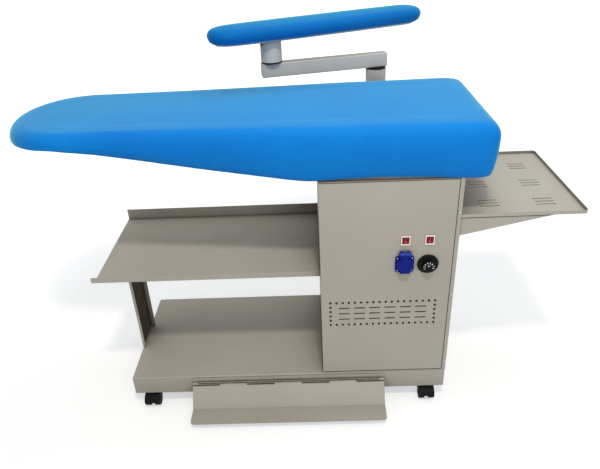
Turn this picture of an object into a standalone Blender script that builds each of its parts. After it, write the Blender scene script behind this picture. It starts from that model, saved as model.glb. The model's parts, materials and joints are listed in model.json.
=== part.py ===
# Vacuum ironing table on four casters: a padded suction board over a cabinet,
# a swinging sleeve board, an iron rest and a foot pedal.
# Lengths are in metres. +X runs along the board to its square end, -Y faces
# the user, +Z is up. The geometry is laid out from the base tray's left front
# corner on the floor, and one empty moves it onto the middle of its bounds.
import math

import bmesh
import bpy
from mathutils import Matrix, Vector

# Shared sizes
SHEET = 0.002
SEAT = 0.0003
OVERRUN = 0.004
BEND = 0.003
FINE_EDGE = 0.0008
EDGE_STEPS = 2
SMOOTH_ANGLE = math.radians(32)
QUARTER = math.pi / 2
FULL_TURN = 2 * math.pi

# Casters
WHEEL_RADIUS = 0.020
WHEEL_HALF_WIDTH = 0.0235
TREAD_INNER = 0.0070
WHEEL_HUB_RADIUS = 0.0045
WHEEL_EDGE = 0.0022
TRAIL = 0.022
CASTER_INSET = 0.026
HOOD_CLEARANCE = 0.0016
HOOD_SHEET = 0.0028
HOOD_START = math.radians(-8)
HOOD_END = math.radians(172)
HOOD_STEPS = 10
WEB_HALF = 0.0055
WEB_STEPS = 5
WEB_DISC_RADIUS = 0.0145
WEB_RISE = 0.004
WEB_START = math.radians(150)
WEB_END = math.radians(300)
COLLAR_RADIUS = 0.0085
STEM_RADIUS = 0.005
STEM_LENGTH = 0.030
STEM_CLEARANCE = 0.0003
HUB_CLEARANCE = 0.0004
WEB_TOP = 2 * WHEEL_RADIUS + WEB_RISE

# Base tray and its caster rails
BASE_LENGTH = 0.988
BASE_DEPTH = 0.422
BASE_RISE = 0.008
BASE_HEIGHT = 0.066
BASE_BOTTOM = 2 * WHEEL_RADIUS + BASE_RISE
BASE_TOP = BASE_BOTTOM + BASE_HEIGHT
BASE_RETURN = 0.015
RAIL_WIDTH = 0.060
RAIL_SHEET = 0.003
RAIL_INSET = 0.023
SOCKET_RADIUS = 0.009
SOCKET_HEIGHT = 0.034
DECK_CABLE_RADIUS = 0.014
COLLAR_TOP = BASE_BOTTOM + SHEET
STEM_TOP = COLLAR_TOP + STEM_LENGTH

# Left upright and upper shelf
UPRIGHT_FRONT = 0.149
UPRIGHT_DEPTH = 0.119
UPRIGHT_FLANGE = 0.016
SHELF_REACH = 0.052
SHELF_FRONT = 0.0475
SHELF_BACK_INSET = 0.004
SHELF_RISE = 0.353
SHELF_BACK_LIP = 0.036
SHELF_FRONT_LIP = 0.017
SHELF_TAB = 0.019
SHELF_END_FLANGE = 0.024
SHELF_END_INSET = 0.014
UPRIGHT_BACK = UPRIGHT_FRONT + UPRIGHT_DEPTH
SHELF_LEFT = -SHELF_REACH
SHELF_BACK = BASE_DEPTH - SHELF_BACK_INSET
SHELF_TOP = BASE_TOP + SHELF_RISE

# Cabinet
CABINET_WIDTH = 0.380
CABINET_HEIGHT = 0.658
WALL_RETURN = 0.012
RIGHT_RETURN = 0.0115
FLOOR_LIP = 0.0035
PANEL_RETURN = 0.010
PANEL_RETURN_INSET = 0.014
BACK_PANEL_INSET = 0.004
BACK_PANEL_END_INSET = 0.008
CABINET_LEFT = BASE_LENGTH - CABINET_WIDTH
CABINET_MIDDLE = BASE_LENGTH - CABINET_WIDTH / 2
CABINET_TOP = BASE_TOP + CABINET_HEIGHT

# Perforated vent in the front panel
VENT_LEFT_INSET = 0.026
VENT_RIGHT_INSET = 0.050
VENT_RISE = 0.1915
VENT_HEIGHT = 0.0795
VENT_ACROSS = 18
VENT_DOWN = 6
VENT_HOLE_RADIUS = 0.0027
VENT_SLOT_COLUMNS = 6
VENT_SLOT_ROWS = 3
VENT_SLOT_SHARE = 0.76
VENT_SLOT_HALF = 0.0022
VENT_SLOT_MARGIN = 0.018
VENT_LEFT = CABINET_LEFT + VENT_LEFT_INSET
VENT_WIDTH = CABINET_WIDTH - VENT_LEFT_INSET - VENT_RIGHT_INSET
VENT_BOTTOM = BASE_TOP + VENT_RISE

# Louvres in the back panel
LOUVRE_COLUMNS = 2
LOUVRE_ROWS = 6
LOUVRE_LENGTH = 0.110
LOUVRE_HALF = 0.003
LOUVRE_PITCH = 0.018
LOUVRE_RISE = 0.126
LOUVRE_SPREAD = 0.085
LOUVRE_BOTTOM = BASE_TOP + LOUVRE_RISE

# Padded board: outline, height and skins
BOARD_NOSE_REACH = 0.250
BOARD_TAIL_REACH = 0.078
BOARD_SETBACK = 0.015
BOARD_RISE = 0.143
BOARD_SKIRT = 0.1385
BOARD_HALF_WIDTH = 0.2385
BOARD_CROWN = 0.0015
BOARD_SHOULDER = 0.036
BOARD_CROWN_INSET = 0.090
NOSE_LENGTH = 0.178
NOSE_POWER = 1.9
NOSE_START_SHARE = 0.35
TAIL_CORNER = 0.036
# Each row: share of the length from nose to tail, share of the half-width
BOARD_WIDTH_SHARES = (
    (0.1353, 0.8386),
    (0.2280, 0.8491),
    (0.3267, 0.8616),
    (0.4255, 0.8847),
    (0.5243, 0.9099),
    (0.6155, 0.9413),
    (0.6497, 0.9539),
    (0.6915, 0.9665),
    (0.7447, 0.9769),
    (0.8055, 0.9853),
    (0.8739, 0.9916),
    (0.9362, 1.0000),
)
# Each row: share of the way from nose to knee or from knee to tail, share of the skirt
HEM_KNEE_INSET = 0.008
NOSE_HEM_SHARES = (
    (0.0000, 0.3827),
    (0.1765, 0.3032),
    (0.3176, 0.3971),
    (0.4235, 0.4946),
    (0.6471, 0.7292),
    (0.9529, 0.9856),
)
TAIL_HEM_SHARES = (
    (0.0000, 1.0000),
    (0.1288, 0.9567),
    (0.3648, 0.9350),
    (0.6438, 0.9639),
    (0.8262, 1.0000),
    (1.0000, 1.0000),
)
NOSE_STEPS = 7
TAIL_STEPS = 5
COVER_THICKNESS = 0.0025
COVER_TAPER = 0.012
SHOULDER_STEPS = 3
PAD_DEPTH = 0.026
PLENUM_KNEE_INSET = 0.004
PLENUM_TUCK = 0.0015
PLENUM_INSET = 0.0065
PLENUM_BOTTOM_INSET = 0.0165
PLENUM_FLANGE = 0.014
PLATE_INSET = 0.008
PLATE_HOLE_RADIUS = 0.006
PLATE_HOLE_COLUMNS = 7
PLATE_HOLE_ROWS = 3
PLATE_ROW_PITCH = 0.115
PLATE_NOSE_MARGIN = 0.152
PLATE_TAIL_MARGIN = 0.182
HEATER_RADIUS = 0.004
HEATER_NOSE_MARGIN = 0.122
HEATER_TAIL_MARGIN = 0.092
HEATER_SPREAD = 0.072
HEATER_LANES = 4
HEATER_BEND_STEPS = 6
BOARD_NOSE = -BOARD_NOSE_REACH
BOARD_TAIL = BASE_LENGTH + BOARD_TAIL_REACH
BOARD_AXIS_Y = BASE_DEPTH / 2 + BOARD_SETBACK
BOARD_TOP = CABINET_TOP + BOARD_RISE
PLENUM_RIM = BOARD_TOP - PAD_DEPTH

# Suction path
DUCT_OFFSET = 0.002
DUCT_SETBACK = 0.009
DUCT_RADIUS = 0.052
DUCT_WALL = 0.002
DUCT_FLANGE_RADIUS = 0.062
DUCT_RISE = 0.002
BLOWER_DROP = 0.202
BLOWER_SHELF_FRONT_REACH = 0.125
BLOWER_SHELF_BACK_REACH = 0.130
BLOWER_SHELF_FLANGE = 0.025
SCROLL_HEIGHT = 0.070
SCROLL_WALL = 0.0025
SCROLL_START_RADIUS = 0.098
SCROLL_GROWTH = 0.042
SCROLL_STEPS = 18
SCROLL_TONGUE_ANGLE = math.radians(-150)
OUTLET_REACH = 0.150
SHAFT_HOLE_RADIUS = 0.020
MOTOR_HOLE_RADIUS = 0.030
FAN_RADIUS = 0.088
FAN_HUB_RADIUS = 0.016
FAN_DISC = 0.003
FAN_BLADES = 8
FAN_BLADE_HALF = 0.0012
FAN_BLADE_START = 0.040
FAN_BLADE_SWEEP = math.radians(38)
FAN_BLADE_STEPS = 3
FAN_BLADE_HEIGHT = 0.040
FAN_EYE_RADIUS = 0.056
FAN_RUNNING_GAP = 0.008
SHAFT_RADIUS = 0.005
SHAFT_CLEARANCE = 0.0003
SHAFT_DEPTH = 0.030
MOTOR_RADIUS = 0.052
MOTOR_FLANGE_RADIUS = 0.060
MOTOR_FLANGE = 0.004
MOTOR_HEIGHT = 0.125
MOTOR_CAP_RADIUS = 0.040
MOTOR_RIB = 0.003
MOTOR_RIBS = 3
DUCT_X = CABINET_MIDDLE + DUCT_OFFSET
DUCT_Y = BOARD_AXIS_Y + DUCT_SETBACK
BLOWER_SHELF_TOP = CABINET_TOP - BLOWER_DROP
BLOWER_SHELF_FRONT = DUCT_Y - BLOWER_SHELF_FRONT_REACH
BLOWER_SHELF_BACK = DUCT_Y + BLOWER_SHELF_BACK_REACH

# Swinging sleeve board
POST_OFFSET = 0.014
POST_STANDOFF = 0.123
POST_RADIUS = 0.033
POST_WALL = 0.004
ARM_RISE = 0.014
ARM_HEIGHT = 0.044
ARM_HALF_WIDTH = 0.015
ARM_REACH = 0.341
ARM_YAW = math.radians(192.5)
ARM_END = 0.034
ARM_WALL = 0.0025
SPIGOT_RADIUS = 0.013
SPIGOT_BORE = 0.0095
SPIGOT_LENGTH = 0.040
SPIGOT_CLEARANCE = 0.0004
BUSH_RING = 0.0045
BUSH_SLEEVE_DEPTH = 0.028
BUSH_RING_RADIUS = 0.031
HUB_HEIGHT = 0.0690
HUB_BORE_DEPTH = 0.0415
ELBOW_HALF_WIDTH = 0.040
ELBOW_HEIGHT = 0.060
ELBOW_DROP = 0.022
ELBOW_BACK_REACH = 0.042
ELBOW_HOLE_RADIUS = 0.026
SLEEVE_YAW = math.radians(22.5)
SLEEVE_NOSE_REACH = 0.196
SLEEVE_TAIL_REACH = 0.522
SLEEVE_HALF_WIDTH = 0.065
# Each row: share of the length from nose to tail, share of the half-width
SLEEVE_WIDTH_SHARES = (
    (0.0986, 0.9000),
    (0.1803, 0.9692),
    (0.2648, 1.0000),
    (0.4408, 1.0000),
    (0.6169, 0.9846),
    (0.7718, 0.9538),
    (0.9155, 0.9077),
)
SLEEVE_PAN_DEPTH = 0.0155
SLEEVE_PAD_DEPTH = 0.0405
SLEEVE_SKIRT = 0.0505
SLEEVE_NOSE_LENGTH = 0.070
SLEEVE_TAIL_CORNER = 0.060
SLEEVE_SHOULDER = 0.022
SLEEVE_CROWN = 0.001
SLEEVE_CROWN_INSET = 0.040
SLEEVE_TAPER = 0.010
SLEEVE_PAN_INSET = 0.0100
SLEEVE_PAN_BOTTOM_INSET = 0.0240
SLEEVE_PAN_FLANGE = 0.010
SLEEVE_PLATE_INSET = 0.0110
SLEEVE_HOLE_COUNT = 8
SLEEVE_NOSE_MARGIN = 0.078
SLEEVE_TAIL_MARGIN = 0.142
POST_X = CABINET_MIDDLE + POST_OFFSET
POST_Y = BASE_DEPTH + POST_STANDOFF
ELBOW_TOP = CABINET_TOP - ELBOW_DROP
ELBOW_BOTTOM = ELBOW_TOP - ELBOW_HEIGHT
ELBOW_BACK = POST_Y + ELBOW_BACK_REACH
ARM_BOTTOM = BOARD_TOP + ARM_RISE
ARM_TOP = ARM_BOTTOM + ARM_HEIGHT
HUB_TOP = ARM_TOP + HUB_HEIGHT
SLEEVE_LEFT = -SLEEVE_NOSE_REACH
SLEEVE_RIGHT = SLEEVE_TAIL_REACH
SLEEVE_BOTTOM = HUB_TOP + SEAT
SLEEVE_PAN_RIM = SLEEVE_BOTTOM + SLEEVE_PAN_DEPTH
SLEEVE_TOP = SLEEVE_PAN_RIM + SLEEVE_PAD_DEPTH
SLEEVE_HEM = SLEEVE_TOP - SLEEVE_SKIRT

# Iron rest at the right-hand end
TRAY_LENGTH = 0.337
TRAY_FRONT = 0.002
TRAY_BACK_REACH = 0.006
TRAY_DROP = 0.118
TRAY_RIM_HEIGHT = 0.010
TRAY_SHEET = 0.0015
TRAY_CORNER = 0.010
TRAY_CORNER_STEPS = 4
TRAY_SLOT_LENGTH = 0.056
TRAY_SLOT_HALF = 0.0025
TRAY_SLOT_PITCH = 0.017
TRAY_SLOTS_IN_GROUP = 3
TRAY_COLUMN_SHARES = (0.273, 0.730)
TRAY_GROUP_SHARES = (0.1831, 0.4695, 0.7559)
GUSSET_HEIGHT = 0.056
GUSSET_REACH = 0.252
GUSSET_INSET = 0.002
GUSSET_FLANGE = 0.012
TRAY_BACK = BASE_DEPTH + TRAY_BACK_REACH
TRAY_BOTTOM = CABINET_TOP - TRAY_DROP
TRAY_RIM = TRAY_BOTTOM + TRAY_RIM_HEIGHT
GUSSET_BOTTOM = TRAY_BOTTOM - GUSSET_HEIGHT

# Foot pedal
PEDAL_LEFT = 0.192
PEDAL_RIGHT_INSET = 0.190
HINGE_Y = -0.0052
HINGE_DROP = 0.025
KNUCKLE_RADIUS = 0.0045
HINGE_PIN_RADIUS = 0.0020
HINGE_PIN_CLEARANCE = 0.0002
KNUCKLES = 7
KNUCKLE_GAP = 0.0005
LEAF_DROP = 0.0055
LEAF_SHEET = 0.0016
PEDAL_SHEET = 0.0025
PEDAL_FOOT_Y = -0.053
PEDAL_FOOT_Z = 0.025
PEDAL_LIP_Y = -0.113
PEDAL_CORNER = 0.012
PEDAL_CORNER_STEPS = 3
ROUND_PROFILE = 0.5
PLUNGER_RISE = 0.008
PLUNGER_RADIUS = 0.003
PLUNGER_TIP_Y = 0.0140
PLUNGER_COLLAR_Y = -0.0170
PLUNGER_COLLAR_RADIUS = 0.0085
PLUNGER_COLLAR = 0.0015
PLUNGER_BLOCK_HALF = 0.004
PLUNGER_HOLE_RADIUS = 0.0062
PLUNGER_HOLE_RISE = 0.0014
SPRING_RADIUS = 0.0074
SPRING_WIRE = 0.0007
SPRING_TURNS = 4
SPRING_STEPS = 10
SPRING_END_GAP = 0.0004
MICRO_BUTTON_Y = 0.0176
MICRO_BUTTON_RADIUS = 0.002
MICRO_FRONT_Y = 0.0195
MICRO_DEPTH = 0.0103
MICRO_HALF_WIDTH = 0.014
MICRO_HALF_HEIGHT = 0.008
MICRO_BRACKET_HALF = 0.016
MICRO_BRACKET_FLANGE = 0.020
PEDAL_RIGHT = BASE_LENGTH - PEDAL_RIGHT_INSET
PEDAL_MIDDLE = (PEDAL_LEFT + PEDAL_RIGHT) / 2
HINGE_Z = BASE_TOP - HINGE_DROP
LEAF_TOP = BASE_TOP - LEAF_DROP
PLUNGER_X = PEDAL_MIDDLE
PLUNGER_Z = BASE_BOTTOM + PLUNGER_RISE

# Rocker switches on the front panel
SWITCH_DROP = 0.182
VACUUM_SWITCH_INSET = 0.145
HEAT_SWITCH_INSET = 0.079
BEZEL_HALF_WIDTH = 0.0130
BEZEL_HALF_HEIGHT = 0.0150
BEZEL_DEPTH = 0.0022
SWITCH_BODY_HALF_WIDTH = 0.0115
SWITCH_BODY_HALF_HEIGHT = 0.0132
SWITCH_BODY_DEPTH = 0.0260
SWITCH_WELL_HALF_WIDTH = 0.0100
SWITCH_WELL_HALF_HEIGHT = 0.0113
SWITCH_WELL_DEPTH = 0.0150
PANEL_CLEARANCE = 0.0004
ROCKER_CLEARANCE = 0.0004
ROCKER_PIVOT_Y = 0.0040
ROCKER_TIP_RADIUS = 0.0116
ROCKER_TIP_ANGLE = math.radians(62)
ROCKER_SIDE_RADIUS = 0.0106
ROCKER_SIDE_ANGLE = math.radians(92)
ROCKER_BACK_RADIUS = 0.0080
ROCKER_BACK_ANGLE = math.radians(150)
ROCKER_DISH = 0.0036
ROCKER_TILT = math.radians(8)
SWITCH_Z = CABINET_TOP - SWITCH_DROP
SWITCH_XS = (("vacuum", BASE_LENGTH - VACUUM_SWITCH_INSET),
             ("heat", BASE_LENGTH - HEAT_SWITCH_INSET))

# Iron socket with its hinged lid
SOCKET_INSET = 0.145
SOCKET_DROP = 0.075
SOCKET_HALF_WIDTH = 0.0260
SOCKET_HALF_HEIGHT = 0.0260
SOCKET_FLANGE = 0.0030
SOCKET_CORNER = 0.006
SOCKET_CORNER_STEPS = 3
SOCKET_COLLAR_RADIUS = 0.0225
SOCKET_COLLAR = 0.0060
SOCKET_BARREL_RADIUS = 0.0220
SOCKET_BARREL_DEPTH = 0.0260
SOCKET_WELL_RADIUS = 0.0195
SOCKET_WELL_DEPTH = 0.0220
CONTACT_RADIUS = 0.0026
CONTACT_SPREAD = 0.0095
CONTACT_DEPTH = 0.0030
LID_HINGE_Y = -0.0105
LID_HINGE_RISE = 0.0370
LID_RADIUS = 0.0235
LID_THICKNESS = 0.0028
LID_DOME = 0.0012
LID_DOME_RADIUS = 0.0190
LID_STRAP_HALF = 0.0140
LID_STRAP_DEPTH = 0.0041
LID_STRAP_DROP = 0.0230
LID_STRAP_RISE = 0.0225
LID_KNUCKLE_RADIUS = 0.0045
LID_KNUCKLE_HALF = 0.0070
LID_EAR_WIDTH = 0.0060
LID_EAR_BOTTOM = 0.0235
LID_EAR_FRONT = 0.0032
LID_PIN_RADIUS = 0.0013
LID_PIN_CLEARANCE = 0.0002
LID_SIDE_GAP = 0.0004
SOCKET_X = BASE_LENGTH - SOCKET_INSET
SOCKET_Z = SWITCH_Z - SOCKET_DROP

# Thermostat and dial
DIAL_INSET = 0.080
DIAL_DROP = 0.077
DIAL_SKIRT_RADIUS = 0.0295
DIAL_SKIRT = 0.0030
DIAL_STANDOFF = 0.0012
DIAL_GRIP_RADIUS = 0.0180
DIAL_GRIP_TOP_RADIUS = 0.0165
DIAL_GRIP = 0.0150
DIAL_FLUTE = 0.0008
DIAL_FLUTES = 12
DIAL_SEGMENTS = 36
DIAL_SHAFT_RADIUS = 0.0030
DIAL_SHAFT_CLEARANCE = 0.0002
DIAL_SHAFT_REACH = 0.0120
THERMOSTAT_HALF_WIDTH = 0.0190
THERMOSTAT_HALF_HEIGHT = 0.0160
THERMOSTAT_DEPTH = 0.0260
THERMOSTAT_NECK_RADIUS = 0.0050
DIAL_X = BASE_LENGTH - DIAL_INSET
DIAL_Z = SWITCH_Z - DIAL_DROP

# Mains cable gland in the back panel
GLAND_INSET = 0.058
GLAND_RISE = 0.066
GLAND_BORE = 0.005
GLAND_THREAD_RADIUS = 0.0098
GLAND_NUT_RADIUS = 0.0140
GLAND_NUT = 0.006
GLAND_NUT_SIDES = 6
GLAND_DOME_RADIUS = 0.0115
GLAND_DOME = 0.014
GLAND_INSIDE = 0.010
GLAND_X = BASE_LENGTH - GLAND_INSET
GLAND_Z = BASE_TOP + GLAND_RISE

# Segment counts for round pieces
SEGMENTS_LARGE = 24
SEGMENTS_MEDIUM = 20
SEGMENTS_SMALL = 12
SEGMENTS_HOLE = 6
SLOT_STEPS = 2


def clear_scene():
    for item in list(bpy.data.objects):
        bpy.data.objects.remove(item, do_unlink=True)


def make_material(name, colour, roughness, metallic):
    material = bpy.data.materials.new(name)
    material.use_nodes = True
    shader = material.node_tree.nodes["Principled BSDF"]
    shader.inputs["Base Color"].default_value = (*colour, 1.0)
    shader.inputs["Roughness"].default_value = roughness
    shader.inputs["Metallic"].default_value = metallic
    return material


def box(bm, low, high):
    size = Vector(high) - Vector(low)
    middle = (Vector(high) + Vector(low)) / 2
    place = Matrix.Translation(middle) @ Matrix.Diagonal((*size, 1.0))
    bmesh.ops.create_cube(bm, size=1.0, matrix=place)


def aim(axis):
    return Vector(axis).to_track_quat("Z", "Y").to_matrix().to_4x4()


def cylinder(bm, start, end, radius, segments, end_radius=None):
    start, end = Vector(start), Vector(end)
    place = Matrix.Translation((start + end) / 2) @ aim(end - start)
    top = radius if end_radius is None else end_radius
    bmesh.ops.create_cone(
        bm, cap_ends=True, segments=segments, radius1=radius, radius2=top,
        depth=(end - start).length, matrix=place)


def prism(bm, outline, direction):
    verts = [bm.verts.new(point) for point in outline]
    face = bm.faces.new(verts)
    grown = bmesh.ops.extrude_face_region(bm, geom=[face])
    moved = [item for item in grown["geom"] if isinstance(item, bmesh.types.BMVert)]
    bmesh.ops.translate(bm, verts=moved, vec=Vector(direction))


def along_x(points, x):
    return [(x, y, z) for y, z in points]


def along_y(points, y):
    return [(x, y, z) for x, z in points]


def along_z(points, z):
    return [(x, y, z) for x, y in points]


def arc(centre, radius, start, end, steps):
    spread = [start + (end - start) * step / steps for step in range(steps + 1)]
    return [(centre[0] + radius * math.cos(angle), centre[1] + radius * math.sin(angle))
            for angle in spread]


def stadium(centre, length, half, steps):
    reach = length / 2 - half
    right = arc((centre[0] + reach, centre[1]), half, -QUARTER, QUARTER, steps)
    left = arc((centre[0] - reach, centre[1]), half, QUARTER, 3 * QUARTER, steps)
    return right + left


def rounded(low, high, radius, steps):
    points = []
    corners = (
        ((high[0] - radius, high[1] - radius), 0.0),
        ((low[0] + radius, high[1] - radius), QUARTER),
        ((low[0] + radius, low[1] + radius), 2 * QUARTER),
        ((high[0] - radius, low[1] + radius), 3 * QUARTER),
    )
    for centre, start in corners:
        points += arc(centre, radius, start, start + QUARTER, steps)
    return points


def turned(bm, profile, place, segments, flute=0.0, flutes=0, fluted=()):
    # Profile rows are (radius, height). A first or last radius of zero closes on the axis.
    rows = []
    for index, (radius, height) in enumerate(profile):
        if radius == 0.0:
            rows.append([bm.verts.new(place @ Vector((0.0, 0.0, height)))])
            continue
        ring = []
        for step in range(segments):
            angle = FULL_TURN * step / segments
            reach = radius
            if index in fluted:
                reach += flute * math.cos(flutes * angle)
            spot = Vector((reach * math.cos(angle), reach * math.sin(angle), height))
            ring.append(bm.verts.new(place @ spot))
        rows.append(ring)
    closed = profile[0][0] != 0.0 and profile[-1][0] != 0.0
    pairs = list(zip(rows, rows[1:]))
    if closed:
        pairs.append((rows[-1], rows[0]))
    for lower, upper in pairs:
        for step in range(segments):
            after = (step + 1) % segments
            if len(lower) == 1:
                bm.faces.new((lower[0], upper[step], upper[after]))
            elif len(upper) == 1:
                bm.faces.new((lower[step], lower[after], upper[0]))
            else:
                bm.faces.new((lower[step], lower[after], upper[after], upper[step]))


def skin(bm, rings):
    # Rings run up one long side and back down the other, so that each end cap
    # is a ladder of straight rungs from side to side.
    rows = [[bm.verts.new(point) for point in ring] for ring in rings]
    count = len(rows[0])
    for lower, upper in zip(rows, rows[1:]):
        for step in range(count):
            after = (step + 1) % count
            bm.faces.new((lower[step], lower[after], upper[after], upper[step]))
    for row in (rows[0], rows[-1]):
        for step in range(count // 2 - 1):
            far = count - 1 - step
            bm.faces.new((row[step], row[step + 1], row[far - 1], row[far]))


def add_object(name, bm, material, origin=(0.0, 0.0, 0.0), bevel=0.0):
    bmesh.ops.translate(bm, verts=bm.verts, vec=-Vector(origin))
    bmesh.ops.recalc_face_normals(bm, faces=bm.faces)
    if bm.calc_volume(signed=True) < 0:
        bmesh.ops.reverse_faces(bm, faces=bm.faces)
    mesh = bpy.data.meshes.new(name)
    bm.to_mesh(mesh)
    bm.free()
    mesh.materials.append(material)
    item = bpy.data.objects.new(name, mesh)
    bpy.context.scene.collection.objects.link(item)
    item.location = origin
    item.parent = ROOT
    mesh.shade_smooth()
    mesh.set_sharp_from_angle(angle=SMOOTH_ANGLE)
    if bevel:
        edge = item.modifiers.new("Edge", "BEVEL")
        edge.width = bevel
        edge.segments = EDGE_STEPS
        edge.limit_method = "ANGLE"
        edge.angle_limit = SMOOTH_ANGLE
        edge.use_clamp_overlap = True
    return item


def tool(bm, name):
    item = add_object(name, bm, PAINT)
    item.hide_render = True
    item.display_type = "WIRE"
    return item


def combine(item, operand, operation):
    step = item.modifiers.new(operation.title(), "BOOLEAN")
    step.operation = operation
    step.solver = "EXACT"
    step.object = operand


def cut(item, bm):
    combine(item, tool(bm, item.name + "_cut"), "DIFFERENCE")


def join(item, bm):
    combine(item, tool(bm, item.name + "_join"), "UNION")


def interpolate(table, place):
    if place <= table[0][0]:
        return table[0][1]
    for (x0, v0), (x1, v1) in zip(table, table[1:]):
        if place <= x1:
            share = (place - x0) / (x1 - x0)
            return v0 + (v1 - v0) * share
    return table[-1][1]


def laid_out(shares, left, right, start, change):
    # Turns rows of shares into rows of place along X and size or height.
    return [(left + (right - left) * along, start + change * share) for along, share in shares]


def half_outline(left, right, widths, nose, corner, power):
    # Half-widths from the rounded nose to the squared tail.
    points = []
    nose_width = interpolate(widths, left + nose)
    for step in range(NOSE_STEPS):
        angle = QUARTER * (step + NOSE_START_SHARE) / (NOSE_STEPS - NOSE_START_SHARE)
        along = nose * (1 - math.cos(angle) ** (2 / power))
        points.append((left + along, nose_width * math.sin(angle) ** (2 / power)))
    for x, width in widths:
        if left + nose <= x < right - corner - FINE_EDGE:
            points.append((x, width))
    tail_width = interpolate(widths, right - corner)
    for step in range(TAIL_STEPS + 1):
        angle = QUARTER * step / TAIL_STEPS
        points.append((right - corner + corner * math.sin(angle),
                       tail_width - corner + corner * math.cos(angle)))
    return points


def full_outline(half, inset, left, right):
    # Each half-width is drawn in by the inset and the length by as much at each end.
    middle = (left + right) / 2
    scale = (right - left - 2 * inset) / (right - left)
    widest = max(width for _, width in half)
    squeeze = (widest - inset) / widest
    upper = [(middle + (x - middle) * scale, width * squeeze) for x, width in half]
    return upper + [(x, -width) for x, width in reversed(upper)]


def shoulder_rows(radius, steps):
    rows = []
    for step in range(steps + 1):
        angle = QUARTER * step / steps
        rows.append((radius * (1 - math.sin(angle)), radius * (1 - math.cos(angle))))
    return rows


clear_scene()
ROOT = bpy.data.objects.new("table", None)
bpy.context.scene.collection.objects.link(ROOT)

PAINT = make_material("powder_coat", (0.56, 0.53, 0.49), 0.5, 0.15)
STEEL = make_material("zinc_steel", (0.60, 0.61, 0.62), 0.35, 0.9)
COVER = make_material("blue_cloth", (0.02, 0.24, 0.62), 0.8, 0.0)
FOAM = make_material("silicone_foam", (0.80, 0.72, 0.60), 0.9, 0.0)
RUBBER = make_material("black_plastic", (0.02, 0.02, 0.022), 0.45, 0.0)
RED = make_material("red_plastic", (0.62, 0.02, 0.05), 0.3, 0.0)
IVORY = make_material("ivory_plastic", (0.74, 0.69, 0.62), 0.35, 0.0)
BLUE = make_material("blue_plastic", (0.02, 0.05, 0.35), 0.35, 0.0)
ALUMINIUM = make_material("cast_aluminium", (0.62, 0.62, 0.62), 0.4, 0.9)
HEATER = make_material("heater_steel", (0.28, 0.27, 0.26), 0.45, 0.8)


def ring(shape, inset, height):
    points = full_outline(shape["half"], inset, *shape["ends"])
    if callable(height):
        return [(x, y + shape["axis"], height(x)) for x, y in points]
    return [(x, y + shape["axis"], height) for x, y in points]


def cover_rings(shape):
    thick = COVER_THICKNESS
    flat = shape["top"] - shape["crown"]
    rings = [ring(shape, shape["crown_inset"], shape["top"])]
    for inset, drop in shoulder_rows(shape["shoulder"], SHOULDER_STEPS):
        rings.append(ring(shape, inset, flat - drop))
    rings.append(ring(shape, shape["taper"], shape["hem"]))
    rings.append(ring(shape, shape["taper"] + thick, shape["hem"]))
    for inset, drop in reversed(shoulder_rows(shape["shoulder"] - thick, SHOULDER_STEPS)):
        rings.append(ring(shape, thick + inset, flat - thick - drop))
    rings.append(ring(shape, shape["crown_inset"], shape["top"] - thick))
    return rings


def pad_rings(shape, base):
    skin_depth = COVER_THICKNESS + SEAT
    flat = shape["top"] - shape["crown"] - skin_depth
    rings = [ring(shape, shape["crown_inset"], shape["top"] - skin_depth)]
    last = 0.0
    for inset, drop in shoulder_rows(shape["shoulder"] - skin_depth, SHOULDER_STEPS):
        if flat - drop > base:
            last = skin_depth + inset
            rings.append(ring(shape, last, flat - drop))
    rings.append(ring(shape, max(last, shape["pad_base_inset"]), base))
    return rings


def pan_rings(shape, rim, bottom, top_inset, bottom_inset, flange):
    def inner_bottom(x):
        return (bottom(x) if callable(bottom) else bottom) + SHEET
    return [
        ring(shape, bottom_inset, bottom),
        ring(shape, top_inset, rim),
        ring(shape, top_inset + flange, rim),
        ring(shape, top_inset + flange, rim - SHEET),
        ring(shape, top_inset + SHEET, rim - SHEET),
        ring(shape, bottom_inset + SHEET, inner_bottom),
    ]


def plate_rings(shape, inset, low, high):
    return [ring(shape, inset, low), ring(shape, inset, high)]


def moved(bm, place):
    bmesh.ops.transform(bm, matrix=place, verts=bm.verts)
    return bm


def new_prism(outline, direction):
    bm = bmesh.new()
    prism(bm, outline, direction)
    return bm


def new_box(low, high):
    bm = bmesh.new()
    box(bm, low, high)
    return bm


def new_cylinder(start, end, radius, segments):
    bm = bmesh.new()
    cylinder(bm, start, end, radius, segments)
    return bm


def new_skin(rings):
    bm = bmesh.new()
    skin(bm, rings)
    return bm


# Base tray: an inverted sheet tray with its lower edge turned inward
deck_under = BASE_TOP - SHEET
base = add_object("base_tray", new_box((0.0, 0.0, BASE_BOTTOM),
                                       (BASE_LENGTH, BASE_DEPTH, BASE_TOP)), PAINT, bevel=BEND)
cut(base, new_box((SHEET, SHEET, BASE_BOTTOM + SHEET),
                  (BASE_LENGTH - SHEET, BASE_DEPTH - SHEET, deck_under)))
cut(base, new_box((BASE_RETURN, BASE_RETURN, BASE_BOTTOM - OVERRUN),
                  (BASE_LENGTH - BASE_RETURN, BASE_DEPTH - BASE_RETURN,
                   BASE_BOTTOM + SHEET + OVERRUN)))
cut(base, new_cylinder((PLUNGER_X, -OVERRUN, PLUNGER_Z + PLUNGER_HOLE_RISE),
                       (PLUNGER_X, SHEET + OVERRUN, PLUNGER_Z + PLUNGER_HOLE_RISE),
                       PLUNGER_HOLE_RADIUS, SEGMENTS_SMALL))
deck_hole = (CABINET_MIDDLE, BASE_DEPTH / 2)
cut(base, new_cylinder((*deck_hole, deck_under - OVERRUN), (*deck_hole, BASE_TOP + OVERRUN),
                       DECK_CABLE_RADIUS, SEGMENTS_SMALL))

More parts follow.
